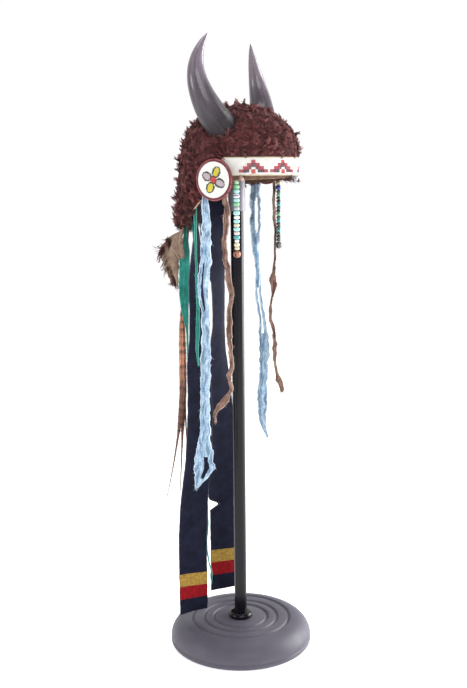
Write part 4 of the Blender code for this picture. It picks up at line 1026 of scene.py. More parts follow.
@dataclass
class Rosettes:
    """The padded, beaded discs over the temples."""

    head: HeadForm
    radius: float = 0.0340
    face_radius: float = 0.0300
    face_depth: float = 0.0022
    pad_depth: float = 0.0012
    across: float = -0.010
    heights: dict[Side, float] = field(default_factory=lambda: {Side.RIGHT: 0.830, Side.LEFT: 0.857})
    pitch: float = 0.00160
    flower_turn: float = 20.0

    def plane(self, side: Side) -> float:
        """The X of the backing's inner face, from its CAD node."""
        low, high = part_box("rosette_backing_" + side.name.lower())
        return high[0] - self.pad_depth if side is Side.RIGHT else low[0] + self.pad_depth

    def away(self, point: Vector, side: Side) -> float:
        """How far a point lies from the rosette's middle, in its own radii."""
        return math.hypot(point.y - self.across, point.z - self.heights[side]) / self.radius

    def petal(self, right: float, rise: float) -> BeadTone:
        """The flower's tone at a place on the face.

        Args:
            right: Distance to the viewer's right of the middle, in metres.
            rise: Distance above the middle.

        Returns:
            The tone there.
        """
        reach = math.hypot(right, rise)
        if reach < 0.0056:
            return BeadTone.RED
        for number in range(4):
            turn = math.radians(45.0 + 90.0 * number + self.flower_turn)
            out = right * math.cos(turn) + rise * math.sin(turn)
            wide = abs(-right * math.sin(turn) + rise * math.cos(turn))
            swell = 0.0078 * math.sqrt(max(0.0, 1.0 - ((out - 0.0132) / 0.0096) ** 2))
            if swell > 0.0 and wide < swell:
                inner = swell - 0.0029
                if wide < inner and 0.0062 < out < 0.0206:
                    return BeadTone.YELLOW if number % 2 == 0 else BeadTone.LILAC
                return BeadTone.GREEN
        return BeadTone.WHITE

    def bead_spots(self, side: Side) -> list[dict]:
        """Spots for the face's rings of beads and the edge's two-bead lacing."""
        plane = self.plane(side) + side.value * (0.0030 + 0.0003)
        spots = []
        rng = random.Random(11)
        rings = int(self.face_radius / self.pitch)
        for ring in range(rings + 1):
            radius = self.face_radius - (rings - ring) * self.pitch
            count = max(1, round(2 * math.pi * radius / 0.00172))
            start = rng.uniform(0, 2 * math.pi)
            for k in range(count):
                turn = start + 2 * math.pi * k / count
                right, rise = radius * math.cos(turn), radius * math.sin(turn)
                lift = self.face_depth * (1.0 - 0.45 * (radius / self.face_radius) ** 2)
                tone = self.petal(right, rise)
                if ring == rings:
                    tone = BeadTone.MAROON
                place = Vector((plane + side.value * lift, self.across + side.value * right,
                                self.heights[side] + rise))
                around = Vector((0.0, -side.value * math.sin(turn), math.cos(turn)))
                spots.append(self.spot(place, around, side, 1.0, tone))
        count = round(2 * math.pi * self.radius / 0.00235)
        for row, tones in ((0, (BeadTone.CORAL, BeadTone.PINK)), (1, (BeadTone.CORAL, BeadTone.MAROON))):
            for k in range(count):
                turn = 2 * math.pi * (k + 0.5 * row) / count
                radius = self.radius - 0.0012 - 0.0014 * row
                right, rise = radius * math.cos(turn), radius * math.sin(turn)
                place = Vector((plane + side.value * 0.0003 * (1 + row), self.across + side.value * right,
                                self.heights[side] + rise))
                around = Vector((0.0, side.value * math.cos(turn), math.sin(turn)))
                tone = tones[0] if rng.random() < 0.55 else tones[1]
                spots.append(self.spot(place, around, side, 1.25, tone))
        return spots

    def spot(self, place: Vector, around: Vector, side: Side, size: float, tone: BeadTone) -> dict:
        """One bead's spot: its hole runs around, and its side faces out."""
        return {"place": place, "turn": turn_of(Vector((side.value, 0.0, 0.0)), around),
                "size": (size, size, size), "tone": tone.value}

    def build(self, finishes: Finishes, planting: GrowTree, beads: bpy.types.Collection) -> None:
        """Build both rosettes: backing, ground cloth and beads."""
        for side in Side:
            name = side.name.lower()
            plane = self.plane(side)
            rim = 0.0011
            back = [(0.0, 0.0030), (self.radius - rim, 0.0030)]
            back += arc((self.radius - rim, 0.0019), rim, 80, -80, 8)
            back += [(self.radius - 2 * rim, 0.0006), (self.radius * 0.4, 0.0), (0.0, -self.pad_depth)]
            backing = turned("rosette_edge_" + name, back, 96, finishes.edging)
            face = [(0.0, self.face_depth * 0.86), (self.face_radius * 0.6, self.face_depth * 0.70),
                    (self.face_radius * 0.96, self.face_depth * 0.40), (self.face_radius * 0.98, 0.0), (0.0, 0.0)]
            ground = turned("rosette_ground_" + name, face, 72, finishes.buckskin)
            for piece, lift in ((backing, 0.0), (ground, 0.0033)):
                turn = Matrix.Rotation(side.value * math.pi / 2, 4, "Y")
                move = Matrix.Translation((plane + side.value * lift, self.across, self.heights[side]))
                piece.data.transform(move @ turn)
            settle(backing, ("rosette_backing_" + name,))
            settle(ground, ())
            stitched = plant(planting, "rosette_beads_" + name, self.bead_spots(side), beads,
                             finishes.seed_beads)
            settle(stitched, ("rosette_face_" + name,))


@dataclass
class WoolCap:
    """The hide cap with its coat of curly wool."""

    head: HeadForm
    rosettes: Rosettes
    depth: float = 0.0155
    crown_pile: float = 1.22
    bed: float = 0.0040
    band_top: float = 0.0308
    band_half_angle: float = 84.0
    overhang: float = 0.004
    spacing: float = 0.0074
    lock_height: float = 0.0150
    lock_kinds: int = 6
    strands: int = 13
    clumps: int = 6
    pile: tuple[tuple[float, float, float], ...] = (
        (-180, 0.88, 1.35), (-130, 0.88, 1.15), (-90, 0.75, 0.60), (-50, 0.60, 0.50), (0, 0.48, 0.50),
        (50, 0.60, 0.50), (90, 0.75, 0.60), (130, 0.88, 1.15), (180, 0.88, 1.35))

    def low_place(self, angle: float) -> float:
        """Where the wool starts: over the band in front, and at the hide's edge elsewhere."""
        over = self.head.place_at(self.head.rim + self.band_top, self.head.wall)
        past = (abs(self.head.wrap(angle)) - self.band_half_angle) / 12.0
        return over - (1.0 + over) * max(0.0, min(1.0, past))

    def pile_at(self, angle: float, place: float, point: Vector) -> float:
        """The pile's depth in metres at a place on the cap.

        Args:
            angle: Round the head, in degrees.
            place: Up the head, from -1 to 1.
            point: The place in space, for the rosettes' beds.

        Returns:
            The depth.
        """
        wrapped = self.head.wrap(angle)
        dome, flap = read_table(self.pile, wrapped, 1), read_table(self.pile, wrapped, 2)
        if place >= 0.0:
            share = dome + (self.crown_pile - dome) * place ** 3
        else:
            share = dome + (flap - dome) * min(1.0, -place * 1.6)
        depth = self.depth * share
        side = Side.RIGHT if point.x < 0 else Side.LEFT
        if abs(point.x) > self.head.half_width / 2:
            under = max(0.0, min(1.0, (1.30 - self.rosettes.away(point, side)) / 0.22))
            depth = mix(depth, self.bed, under)
        return depth

    def skin(self, angle: float, share: float, lift: float) -> tuple[Vector, float]:
        """A point over the hide and the pile's depth there.

        Args:
            angle: Round the head, in degrees.
            share: From 0 at the wool's lower edge to 1 at the crown.
            lift: Height over the hide as a share of the pile.

        Returns:
            The point and the depth.
        """
        low = self.low_place(angle)
        place = low + (1.0 - low) * share
        drop = self.head.drop(angle)
        bare = self.head.point(angle, place, self.head.wall, drop)
        depth = self.pile_at(angle, place, bare)
        hang = self.overhang * lift if place < 0.2 else 0.0
        return self.head.point(angle, place, self.head.wall + 0.0008 + depth * lift, drop + hang), depth

    def build_hide(self, finishes: Finishes) -> None:
        """The hide: smooth inside and out, with a raw pale lower edge."""
        columns, rows = 150, 44
        draft = MeshDraft()
        domes = []
        for offset in (self.head.wall, 0.0):
            rings = []
            for row in range(rows):
                place = -1.0 + 1.99 * row / (rows - 1)
                ring = []
                for k in range(columns):
                    angle = 360.0 * k / columns
                    ripple = 0.0012 * wander(1.0, angle, 9.0) * max(0.0, -place)
                    drop = self.head.drop(angle) + 0.0010 * wander(2.0, angle, 6.0)
                    ring.append(self.head.point(angle, place, offset + ripple, drop))
                rings.append(ring)
            start = draft.grid(rings, closed=True)
            pole = len(draft.points)
            draft.points.append(self.head.point(0.0, 1.0, offset, 0.0))
            top = start + (rows - 1) * columns
            for k in range(columns):
                draft.faces.append((top + k, top + (k + 1) % columns, pole))
            domes.append(start)
        edge_start = len(draft.faces)
        for k in range(columns):
            side = (k + 1) % columns
            draft.faces.append((domes[0] + k, domes[0] + side, domes[1] + side, domes[1] + k))
        cap = draft.finish("hide_shell", finishes.hide)
        cap.data.materials.append(finishes.raw_edge)
        for face in cap.data.polygons:
            if face.index >= edge_start or (face.index < columns and face.center.z < self.head.rim):
                face.material_index = 1
        settle(cap, ("hide_cap",))

    def build_ground(self, finishes: Finishes) -> None:
        """The matted undercoat that the locks stand in."""
        columns, rows = 200, 60
        draft = MeshDraft()
        starts = []
        for lift in (0.52, 0.0):
            rings = []
            for row in range(rows):
                share = row / rows
                ring = []
                for k in range(columns):
                    angle = 360.0 * k / columns
                    point, depth = self.skin(angle, share, lift)
                    if lift > 0.0:
                        lump = noise.noise(point * 120.0) + 0.5 * noise.noise(point * 260.0)
                        grip = min(1.0, 0.25 + share * 5.0)
                        point, depth = self.skin(angle, share, max(0.1, (lift + 0.30 * lump) * grip))
                    ring.append(point)
                rings.append(ring)
            start = draft.grid(rings, closed=True)
            pole = len(draft.points)
            draft.points.append(self.skin(0.0, 1.0, lift)[0])
            top = start + (rows - 1) * columns
            for k in range(columns):
                draft.faces.append((top + k, top + (k + 1) % columns, pole))
            starts.append(start)
        for k in range(columns):
            side = (k + 1) % columns
            draft.faces.append((starts[0] + k, starts[0] + side, starts[1] + side, starts[1] + k))
        ground = draft.finish("wool_undercoat", finishes.wool_ground)
        settle(ground, ("fur_coat",))

    def make_lock(self, number: int) -> bpy.types.Object:
        """One curled lock of wool, rising along Z from its root."""
        rng = random.Random(100 + number)
        draft = MeshDraft()
        along: list[float] = []
        strand: list[float] = []
        sway = rng.uniform(0, 2 * math.pi)
        hook = rng.uniform(0.45, 0.95)
        for index in range(self.strands):
            is_clump = index < self.clumps
            steps = 8 if is_clump else 4
            turn = rng.uniform(0, 2 * math.pi)
            spread = 0.0048 * math.sqrt(rng.random())
            phase = rng.uniform(0, 2 * math.pi)
            curl = rng.uniform(0.0015, 0.0026) if is_clump else rng.uniform(0.0010, 0.0026)
            turns = rng.uniform(1.3, 2.0) if is_clump else rng.uniform(0.4, 0.9)
            length = self.lock_height * (rng.uniform(0.60, 1.0) if is_clump else rng.uniform(0.7, 1.05))
            thick = rng.uniform(0.00075, 0.00120) if is_clump else rng.uniform(0.00028, 0.00048)
            shade = rng.random()
            path = []
            for i in range(steps + 1):
                t = i / steps
                gather = 1.0 - 0.55 * t
                spin = phase + 2 * math.pi * turns * t
                bend = hook * length * t * t
                path.append(Vector((
                    spread * gather * math.cos(turn) + curl * t * math.cos(spin) + bend * math.cos(sway),
                    spread * gather * math.sin(turn) + curl * t * math.sin(spin) + bend * math.sin(sway),
                    length * (t - 0.30 * t * t * hook) + 0.0006 * math.sin(spin))))
            taper = 0.50 if is_clump else 0.65
            draft.tube(path, [thick * (1.0 - taper * (i / steps) ** 2) for i in range(steps + 1)])
            for i in range(steps + 1):
                along.extend([i / steps] * 3)
                strand.extend([shade] * 3)
        draft.values = {"along": along, "strand": strand}
        return draft.finish(f"lock_{number}")

    def sowing_skin(self, name: str, low: float, high: float) -> bpy.types.Object:
        """A patch of skin to sow locks on, with the pile's depth on each point.

        Args:
            name: The patch's name.
            low: Its first angle in degrees.
            high: Its last angle.

        Returns:
            The patch.
        """
        draft = MeshDraft()
        rows = []
        pile = []
        for i in range(41):
            row = []
            for j in range(37):
                angle = mix(high, low, j / 36)
                share = 0.012 + 0.985 * i / 40
                point, depth = self.skin(angle, share, 0.36)
                lump = noise.noise(point * 120.0)
                point, depth = self.skin(angle, share, 0.36 + 0.22 * lump)
                row.append(point)
                near_edge = min(1.0, 0.55 + 4.0 * share)
                lumps = 1.0 + 0.40 * noise.noise(point * 55.0)
                full = min(0.76, max(0.50, depth / self.depth * 0.70)) if depth > self.bed * 1.3 else 0.28
                pile.append(max(0.20, full * near_edge * lumps))
            rows.append(row)
        draft.grid(rows)
        draft.values = {"pile": pile}
        return draft.finish(name, outwards=False)

    def build_wool(self, finishes: Finishes) -> None:
        """Sow the locks over four patches."""
        locks = make_parts("locks", [self.make_lock(number) for number in range(self.lock_kinds)])
        sowing = make_wool_tree()
        patches = (("wool_front", -45.0, 45.0), ("wool_right", 45.0, 130.0), ("wool_left", -130.0, -45.0),
                   ("wool_back", 130.0, 230.0))
        for seed, (name, low, high) in enumerate(patches):
            skin = self.sowing_skin(name + "_skin", low, high)
            wool = sowing.run(name, skin, {
                "Spacing": self.spacing, "Length": 1.0, "Comb": (0.0, 0.10, -0.55), "Tousle": 0.42,
                "Seed": 20 + seed, "Kinds": self.lock_kinds, "Parts": locks, "Material": finishes.wool})
            settle(wool, ())

    def build(self, finishes: Finishes) -> None:
        """Build the cap's hide, undercoat and wool."""
        self.build_hide(finishes)
        self.build_ground(finishes)
        self.build_wool(finishes)


@dataclass
class Horns:
    """A pair of polished horns that curve out, up and in."""

    head: HeadForm
    rise: float = 0.2265
    radius: float = 0.0250
    sides: int = 48
    rows: int = 84
    sections: Table = (
        (0.300, 0.175, -0.026, 0.98), (0.338, 0.258, -0.016, 1.00), (0.395, 0.334, 0.002, 0.98),
        (0.468, 0.394, 0.027, 0.91), (0.560, 0.434, 0.057, 0.80), (0.655, 0.450, 0.085, 0.68),
        (0.750, 0.444, 0.102, 0.55), (0.842, 0.414, 0.106, 0.40), (0.928, 0.368, 0.098, 0.23),
        (1.004, 0.316, 0.082, 0.048))

    def build(self, finishes: Finishes) -> None:
        """Build both horns."""
        for side in Side:
            middle = [Vector((side.value * out * self.rise, self.head.setback + back * self.rise,
                              self.head.rim + rise * self.rise)) for rise, out, back, _ in self.sections]
            radii = [Vector((row[3] * self.radius, 0.0, 0.0)) for row in self.sections]
            last = len(middle) - 1
            draft = MeshDraft()
            rows = []
            for i in range(self.rows + 1):
                place = last * (i / self.rows)
                centre = spline(middle, place)
                step = 0.02
                ahead = (spline(middle, min(last, place + step)) - spline(middle, max(0.0, place - step)))
                ahead.normalize()
                across = ahead.cross(Vector((0.0, 1.0, 0.0))).normalized()
                forward = across.cross(ahead)
                radius = spline(radii, place).x
                if i > self.rows - 6:
                    radius *= math.sqrt(max(0.0, 1.0 - ((i - self.rows + 6) / 6.2) ** 2))
                ring = []
                for k in range(self.sides + 1):
                    turn = 2 * math.pi * k / self.sides
                    ridge = 1.0 + 0.012 * noise.noise(Vector((math.cos(turn) * 3.0, math.sin(turn) * 3.0,
                                                              place * 0.8)))
                    growth = 1.0 + 0.006 * math.sin(place * 16.0) * max(0.0, 1.0 - place / 4.0)
                    size = radius * ridge * growth
                    ring.append(centre + across * (size * math.cos(turn)) + forward * (size * math.sin(turn)))
                    draft.uvs.append((k / self.sides, i / self.rows))
                rows.append(ring)
            draft.grid(rows)
            horn = draft.finish("horn_" + side.name.lower() + "_polished", finishes.horn)
            self.close_seams(horn, middle)
            settle(horn, ("horn_" + side.name.lower(),))

    def close_seams(self, horn: bpy.types.Object, middle: list[Vector]) -> None:
        """Join the seam along the horn and fill its root and tip."""
        body = bmesh.new()
        body.from_mesh(horn.data)
        bmesh.ops.remove_doubles(body, verts=body.verts, dist=1e-6)
        rims = [edge for edge in body.edges if edge.is_boundary]
        bmesh.ops.holes_fill(body, edges=rims, sides=0)
        bmesh.ops.recalc_face_normals(body, faces=body.faces)
        body.to_mesh(horn.data)
        body.free()
        horn.data.shade_smooth()


@dataclass
class BrowBand:
    """The beaded band round the brow."""

    head: HeadForm
    half_angle: float = 84.0
    height: float = 0.030
    lift: float = 0.0003
    thickness: float = 0.0014
    rows: int = 18
    pitch: float = 0.00170
    motif_places: tuple[float, ...] = (-0.081, -0.031, 0.031, 0.081)
    motif: tuple[tuple[int, int, str], ...] = (
        (2, 2, "......RR......"), (3, 5, "rrddnwRRwnddrr"), (6, 7, "..rrrdwwdrrr.."), (8, 8, "..rrrdttdrrr.."),
        (9, 11, "....rrddrr...."), (12, 14, "......rr......"))

    def tone(self, along: float, row: int) -> BeadTone:
        """The chart's tone for a bead.

        Args:
            along: Distance to the viewer's right of the forehead's middle, in metres.
            row: The row, counted from the lower edge.

        Returns:
            The tone.
        """
        marks = {"r": BeadTone.ROSE, "d": BeadTone.MAROON, "n": BeadTone.NAVY, "t": BeadTone.TEAL,
                 "R": BeadTone.RED, ".": BeadTone.WHITE, "w": BeadTone.WHITE}
        if row in (0, self.rows - 1):
            return BeadTone.CREAM
        for place in self.motif_places:
            block = int((along - place) / (2 * self.pitch) + 7.0)
            if 0 <= block < 14 and along - place > -14 * self.pitch:
                for low, high, chart in self.motif:
                    if low <= row <= high:
                        return marks[chart[block]]
        return BeadTone.WHITE

    def body_ring(self, angle: float) -> list[Vector]:
        """The leather's cross-section at an angle."""
        inner, outer = self.head.wall + self.lift, self.head.wall + self.lift + self.thickness
        low, high = self.head.rim, self.head.rim + self.height
        ring = []
        for offset, height in ((inner, low), (outer, low + 0.0004), (outer, mix(low, high, 0.5)),
                               (outer, high - 0.0004), (inner, high)):
            ring.append(self.head.at_height(angle, height, offset))
        return ring

    def build(self, finishes: Finishes, planting: GrowTree, beads: bpy.types.Collection) -> None:
        """Build the leather band and its rows of beads."""
        draft = MeshDraft()
        steps = 96
        rings = [self.body_ring(mix(-self.half_angle, self.half_angle, i / steps)) for i in range(steps + 1)]
        draft.grid(rings, closed=True)
        last = steps * 5
        draft.faces += [(4, 3, 2, 1, 0), (last, last + 1, last + 2, last + 3, last + 4)]
        leather = draft.finish("band_leather", finishes.buckskin)
        leather.data.set_sharp_from_angle(angle=math.radians(40))
        settle(leather, ("brow_band",))
        stitched = plant(planting, "band_beadwork", self.bead_spots(), beads, finishes.seed_beads)
        settle(stitched, ())

    def bead_spots(self) -> list[dict]:
        """Spots for every bead, row by row round the brow."""
        offset = self.head.wall + self.lift + self.thickness + 0.0003
        fine = [mix(self.half_angle, -self.half_angle, i / 1200) for i in range(1201)]
        run = [0.0]
        points = [self.head.at_height(angle, self.head.rim, offset) for angle in fine]
        for before, after in zip(points, points[1:]):
            run.append(run[-1] + (after - before).length)
        count = int(run[-1] / self.pitch) - 1
        spots = []
        rng = random.Random(4)
        index = 0
        for column in range(count + 1):
            along = (run[-1] - count * self.pitch) / 2 + column * self.pitch
            while run[index + 1] < along:
                index += 1
            share = (along - run[index]) / (run[index + 1] - run[index])
            angle = mix(fine[index], fine[index + 1], share)
            wave = 0.00018 * wander(5.0, column, 7.0)
            for row in range(self.rows):
                height = self.head.rim + self.height * (row + 0.5) / self.rows + wave
                height += rng.uniform(-0.00007, 0.00007)
                place = self.head.at_height(angle, height, offset + rng.uniform(0.0, 0.00016))
                out = self.head.outward(angle, height)
                tone = self.tone(along - run[-1] / 2, row)
                edge = min(column, count - column)
                if edge < 3:
                    tone = (BeadTone.PINK, BeadTone.WHITE, BeadTone.CORAL)[(row + edge) % 3]
                spots.append({"place": place, "turn": turn_of(out, out.cross(UP)), "size": (0.97, 0.97, 1.0),
                              "tone": tone.value})
        return spots


@dataclass(frozen=True)
class StringBead:
    """One bead of a hanging string: its radius, height and colour."""

    radius: float
    height: float
    colour: Colour
    # ends: a colour painted on the bead's top and bottom; on the deep blue bead it is a painted reflection.
    ends: Colour | None = None


@dataclass
class BeadString:
    """A string of glass beads that ends in a round bell, hung on its thread."""

    side: Side
    beads: tuple[StringBead, ...]
    bell_colour: Colour
    bell_radius: float = 0.0065
    sides: int = 16

    def build(self, finishes: Finishes) -> None:
        """Build the beads, the thread and the bell."""
        name = self.side.name.lower()
        low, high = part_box("bead_string_" + name)
        across, back = (low[0] + high[0]) / 2, (low[1] + high[1]) / 2
        rng = random.Random(31 + self.side.value)
        draft = MeshDraft()
        height = high[2]
        for bead in self.beads:
            lean = Vector((rng.uniform(-0.05, 0.05), rng.uniform(-0.05, 0.05), -1.0)).normalized()
            top = Vector((across + rng.uniform(-0.0002, 0.0002), back + rng.uniform(-0.0002, 0.0002), height))
            span = bead.height * 0.97
            rows = (0.0, 0.06, 0.22, 0.5, 0.78, 0.94, 1.0)
            wide = (0.45, 0.72, 0.95, 1.0, 0.95, 0.72, 0.45)
            draft.tube([top + lean * (span * share) for share in rows],
                       [bead.radius * share for share in wide], self.sides)
            for share in rows:
                # A bead with ends gets that colour on its top and bottom; on the deep blue bead it is a painted
                # reflection.
                colour = bead.ends if bead.ends and abs(share - 0.5) > 0.25 else bead.colour
                draft.colours += [colour] * self.sides
            height -= bead.height
        string = draft.finish("string_beads_" + name, finishes.glass_beads)
        settle(string, ("bead_string_" + name,))
        thread = MeshDraft()
        path = [Vector((across, back, high[2] - 0.0002)), Vector((across, back, height - 0.0012))]
        thread.tube(path, [0.0009, 0.0009], 8)
        thread.colours = [(0.10, 0.07, 0.05)] * 16
        settle(thread.finish("string_thread_" + name, finishes.thread), ())
        middle = Vector((across, back, height - self.bell_radius))
        bell = make_bell("string_bell_" + name, middle, self.bell_radius, self.bell_colour, finishes.bells)
        settle(bell, ())


def make_bell(name: str, middle: Vector, radius: float, colour: Colour,
              material: bpy.types.Material) -> bpy.types.Object:
    """A round bell with a raised seam and a slot underneath.

    Args:
        name: The piece's name.
        middle: Its middle.
        radius: Its radius.
        colour: Its metal's colour.
        material: Its material.

    Returns:
        The bell.
    """
    draft = MeshDraft()
    columns, rows = 48, 30
    rings = []
    for i in range(1, rows):
        climb = math.pi * i / rows
        ring = []
        for k in range(columns):
            turn = 2 * math.pi * k / columns
            way = Vector((math.sin(climb) * math.cos(turn), math.sin(climb) * math.sin(turn), math.cos(climb)))
            # The slot is sunk in and painted near-black: painted shade for the dark hollow inside the bell.
            slot = abs(way.y) < 0.13 and way.z < 0.15
            seam = 0.03 * math.exp(-(way.z / 0.06) ** 2)
            ring.append(middle + way * radius * (0.80 if slot else 0.965 + seam))
            draft.colours.append((0.012, 0.010, 0.010) if slot else colour)
        rings.append(ring)
    draft.grid(rings, closed=True)
    last = (rows - 2) * columns
    for start, rise in ((0, 0.965), (last, -0.80)):
        pole = len(draft.points)
        draft.points.append(middle + UP * radius * rise)
        draft.colours.append(colour)
        for k in range(columns):
            draft.faces.append((start + k, start + (k + 1) % columns, pole))
    return draft.finish(name, material)


@dataclass(frozen=True)
class Gap:
    """A slit or hole in a strip, by shares across from -0.5 to 0.5 and metres below its top."""

    across: float
    wide: float
    start: float
    end: float


@dataclass
class Strip:
    """A hanging strip of cloth or hide, read from its CAD node and given folds, holes and frayed edges."""

    node: str
    slot: str
    thickness: float
    columns: int = 8
    step: float = 0.0026
    folds: float = 0.0012
    fold_count: float = 2.2
    ragged: float = 0.10
    frays: int = 70
    fray_length: float = 0.006
    fray_colour: Colour = (0.7, 0.7, 0.7)
    gaps: tuple[Gap, ...] = ()
    notch: tuple[float, float, float] | None = None
    shifts: Table = ((0.0, 0.0, 0.0),)
    hem_lift: tuple[float, float] = (0.0, 0.0)
    pinch: float = 0.0
    rests_on: tuple[str, ...] = ()

    def sections(self) -> list[tuple[Vector, ...]]:
        """The node's cross-sections from the top down, as five points across each."""
        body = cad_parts[self.node]
        spots = sorted({tuple(round(part, 6) for part in vertex.co) for vertex in body.data.vertices},
                       key=lambda spot: -spot[2])
        rings: list[list[Vector]] = []
        for spot in spots:
            if rings and rings[-1][0].z - spot[2] < 0.0005:
                rings[-1].append(Vector(spot))
            else:
                rings.append([Vector(spot)])
        found = []
        across = Vector((0.5, -0.866, 0.0))
        for ring in reversed([ring for ring in rings if len(ring) >= 4]):
            middle = sum(ring, Vector()) / len(ring)
            spread = [point - middle for point in ring]
            turn = 0.5 * math.atan2(2 * sum(p.x * p.y for p in spread),
                                    sum(p.x * p.x - p.y * p.y for p in spread))
            way = Vector((math.cos(turn), math.sin(turn), 0.0))
            across = way if way.dot(across) > 0 else -way
            ordered = sorted(ring, key=lambda point: (point - middle).dot(across))
            if len(ring) == 10:
                found.append(tuple((ordered[2 * i] + ordered[2 * i + 1]) / 2 for i in range(5)))
            else:
                low = (ordered[0] - middle).dot(across)
                high = (ordered[-1] - middle).dot(across)
                found.append(tuple(middle + across * mix(low, high, i / 4) for i in range(5)))
        found.reverse()
        return found

    def rows(self) -> list[tuple[Vector, ...]]:
        """The cross-sections filled in along smooth curves, a step apart."""
        known = self.sections()
        columns = [[row[i] for row in known] for i in range(5)]
        filled = []
        for index in range(len(known) - 1):
            count = max(1, round((known[index][2] - known[index + 1][2]).length / self.step))
            for k in range(count):
                filled.append(tuple(spline(column, index + k / count) for column in columns))
        filled.append(known[-1])
        return filled

    def is_open(self, across: float, below: float) -> bool:
        """Whether a place on the strip is in a slit or hole."""
        for gap in self.gaps:
            if gap.start < below < gap.end:
                middle, half = (gap.start + gap.end) / 2, (gap.end - gap.start) / 2
                belly = math.sqrt(max(0.0, 1.0 - ((below - middle) / half) ** 2))
                sway = 0.04 * wander(3.0, below, 0.012)
                if abs(across - gap.across - sway) < gap.wide / 2 * belly:
                    return True
        return False

    def build(self, material: bpy.types.Material, thread: bpy.types.Material, held: str = "hung") -> None:
        """Build the strip and its loose threads.

        Args:
            material: The strip's material.
            thread: The loose threads' material.
            held: How the cloth is held, or an empty name for hide; it changes nothing that is built.
        """
        seed = float(sum(ord(letter) for letter in self.node) % 97)
        rows = self.rows()
        draft = MeshDraft()
        rim: list[float] = []
        grid = []
        edges: list[tuple[Vector, Vector]] = []
        below = [0.0]
        for before, after in zip(rows, rows[1:]):
            below.append(below[-1] + (after[2] - before[2]).length)
        widest = 0.0
        for index, row in enumerate(rows):
            moved = [read_table(self.shifts, below[index], column) for column in (1, 2)]
            near_hem = max(0.0, 1.0 - (below[-1] - below[index]) / 0.09) ** 2
            line = [point + Vector((0.0, -mix(*moved, k / 4), near_hem * mix(*self.hem_lift, k / 4)))
                    for k, point in enumerate(row)]
            width = sum((b - a).length for a, b in zip(line, line[1:]))
            side = (line[-1] - line[0]).normalized()
            normal = side.cross(UP).normalized()
            depth = below[index]
            ease = min(1.0, depth / 0.02)
            points = []
            for j in range(self.columns + 1):
                share = j / self.columns
                edge = 1.0 if share > 0.5 else -1.0
                tear = self.ragged * width * 0.5 * wander(seed + edge, depth, 0.011)
                tear += self.ragged * width * 0.3 * wander(seed + edge + 9, depth, 0.003)
                tear += self.pinch * width * ease * max(0.0, 0.2 + 0.8 * wander(seed + 40, depth, 0.014))
                if self.notch and share < 0.5:
                    rise = below[-1] - depth - self.notch[0]
                    tear += self.notch[2] * max(0.0, 1.0 - abs(rise) / self.notch[1]) * (1.0 - 2.0 * share)
                reach = abs(2.0 * share - 1.0)
                point = spline(line, share * 4.0) - side * (edge * max(-0.5 * width, tear * reach * edge * -1.0))
                fold = math.sin(share * self.fold_count * math.pi * 2 + seed
                                + 2.0 * wander(seed + 20, depth, 0.05))
                drift = wander(seed + 30, depth + 0.004 * share, 0.018)
                point += normal * (self.folds * ease * (0.6 * fold + 0.7 * drift))
                points.append(point)
                rim.append(min(share, 1.0 - share) * width if index < len(rows) - 1 else 0.0)
                draft.uvs.append(((share - 0.5) * width, below[-1] - depth))
            grid.append(points)
            edges += [(points[0], -side), (points[-1], side)]
            widest = max(widest, width)
        draft.grid(grid)
        kept = []
        for number, face in enumerate(draft.faces):
            row, column = divmod(number, self.columns)
            if not self.is_open((column + 0.5) / self.columns - 0.5, below[row]):
                kept.append(face)
        draft.faces = kept
        draft.values = {"rim": rim}
        piece = draft.finish(self.node + "_cloth", material, outwards=False)
        wall = piece.modifiers.new("wall", "SOLIDIFY")
        wall.thickness = self.thickness
        wall.offset = 0.0
        settle(piece, (self.node,))
        threads = self.build_frays(edges, grid, thread, seed)
        if held:
            width, length = max(0.0101, widest), below[-1]

    def build_frays(self, edges: list[tuple[Vector, Vector]], grid: list[list[Vector]],
                    thread: bpy.types.Material, seed: float) -> bpy.types.Object | None:
        """The loose threads along the torn edges and the end.

        Args:
            edges: Points on the edges with the way out from each.
            grid: The strip's rows of points.
            thread: The threads' material.
            seed: A number for their shapes.

        Returns:
            The threads as one piece, or nothing.
        """
        if self.frays == 0:
            return None
        rng = random.Random(int(seed) + 5)
        draft = MeshDraft()
        spots = [rng.choice(edges[8:]) for _ in range(self.frays)]
        end = grid[-1]
        spots += [(point, Vector((0.0, 0.0, -1.0))) for point in end for _ in range(2)]
        for point, way in spots:
            length = self.fray_length * rng.uniform(0.25, 1.0) ** 1.5
            aim = way * rng.uniform(0.3, 1.0)
            aim += Vector((rng.uniform(-0.5, 0.5), rng.uniform(-0.5, 0.5), rng.uniform(-1.2, 0.3)))
            aim.normalize()
            path = []
            for k in range(4):
                t = k / 3
                path.append(point - way * 0.0006 + aim * (length * t) - UP * (length * 0.35 * t * t))
            draft.tube(path, [0.00022, 0.00019, 0.00014, 0.00008])
            shade = rng.uniform(0.8, 1.15)
            draft.colours += [tuple(min(1.0, shade * part) for part in self.fray_colour)] * 12
        threads = draft.finish(self.node + "_frays", thread)
        return settle(threads, ())


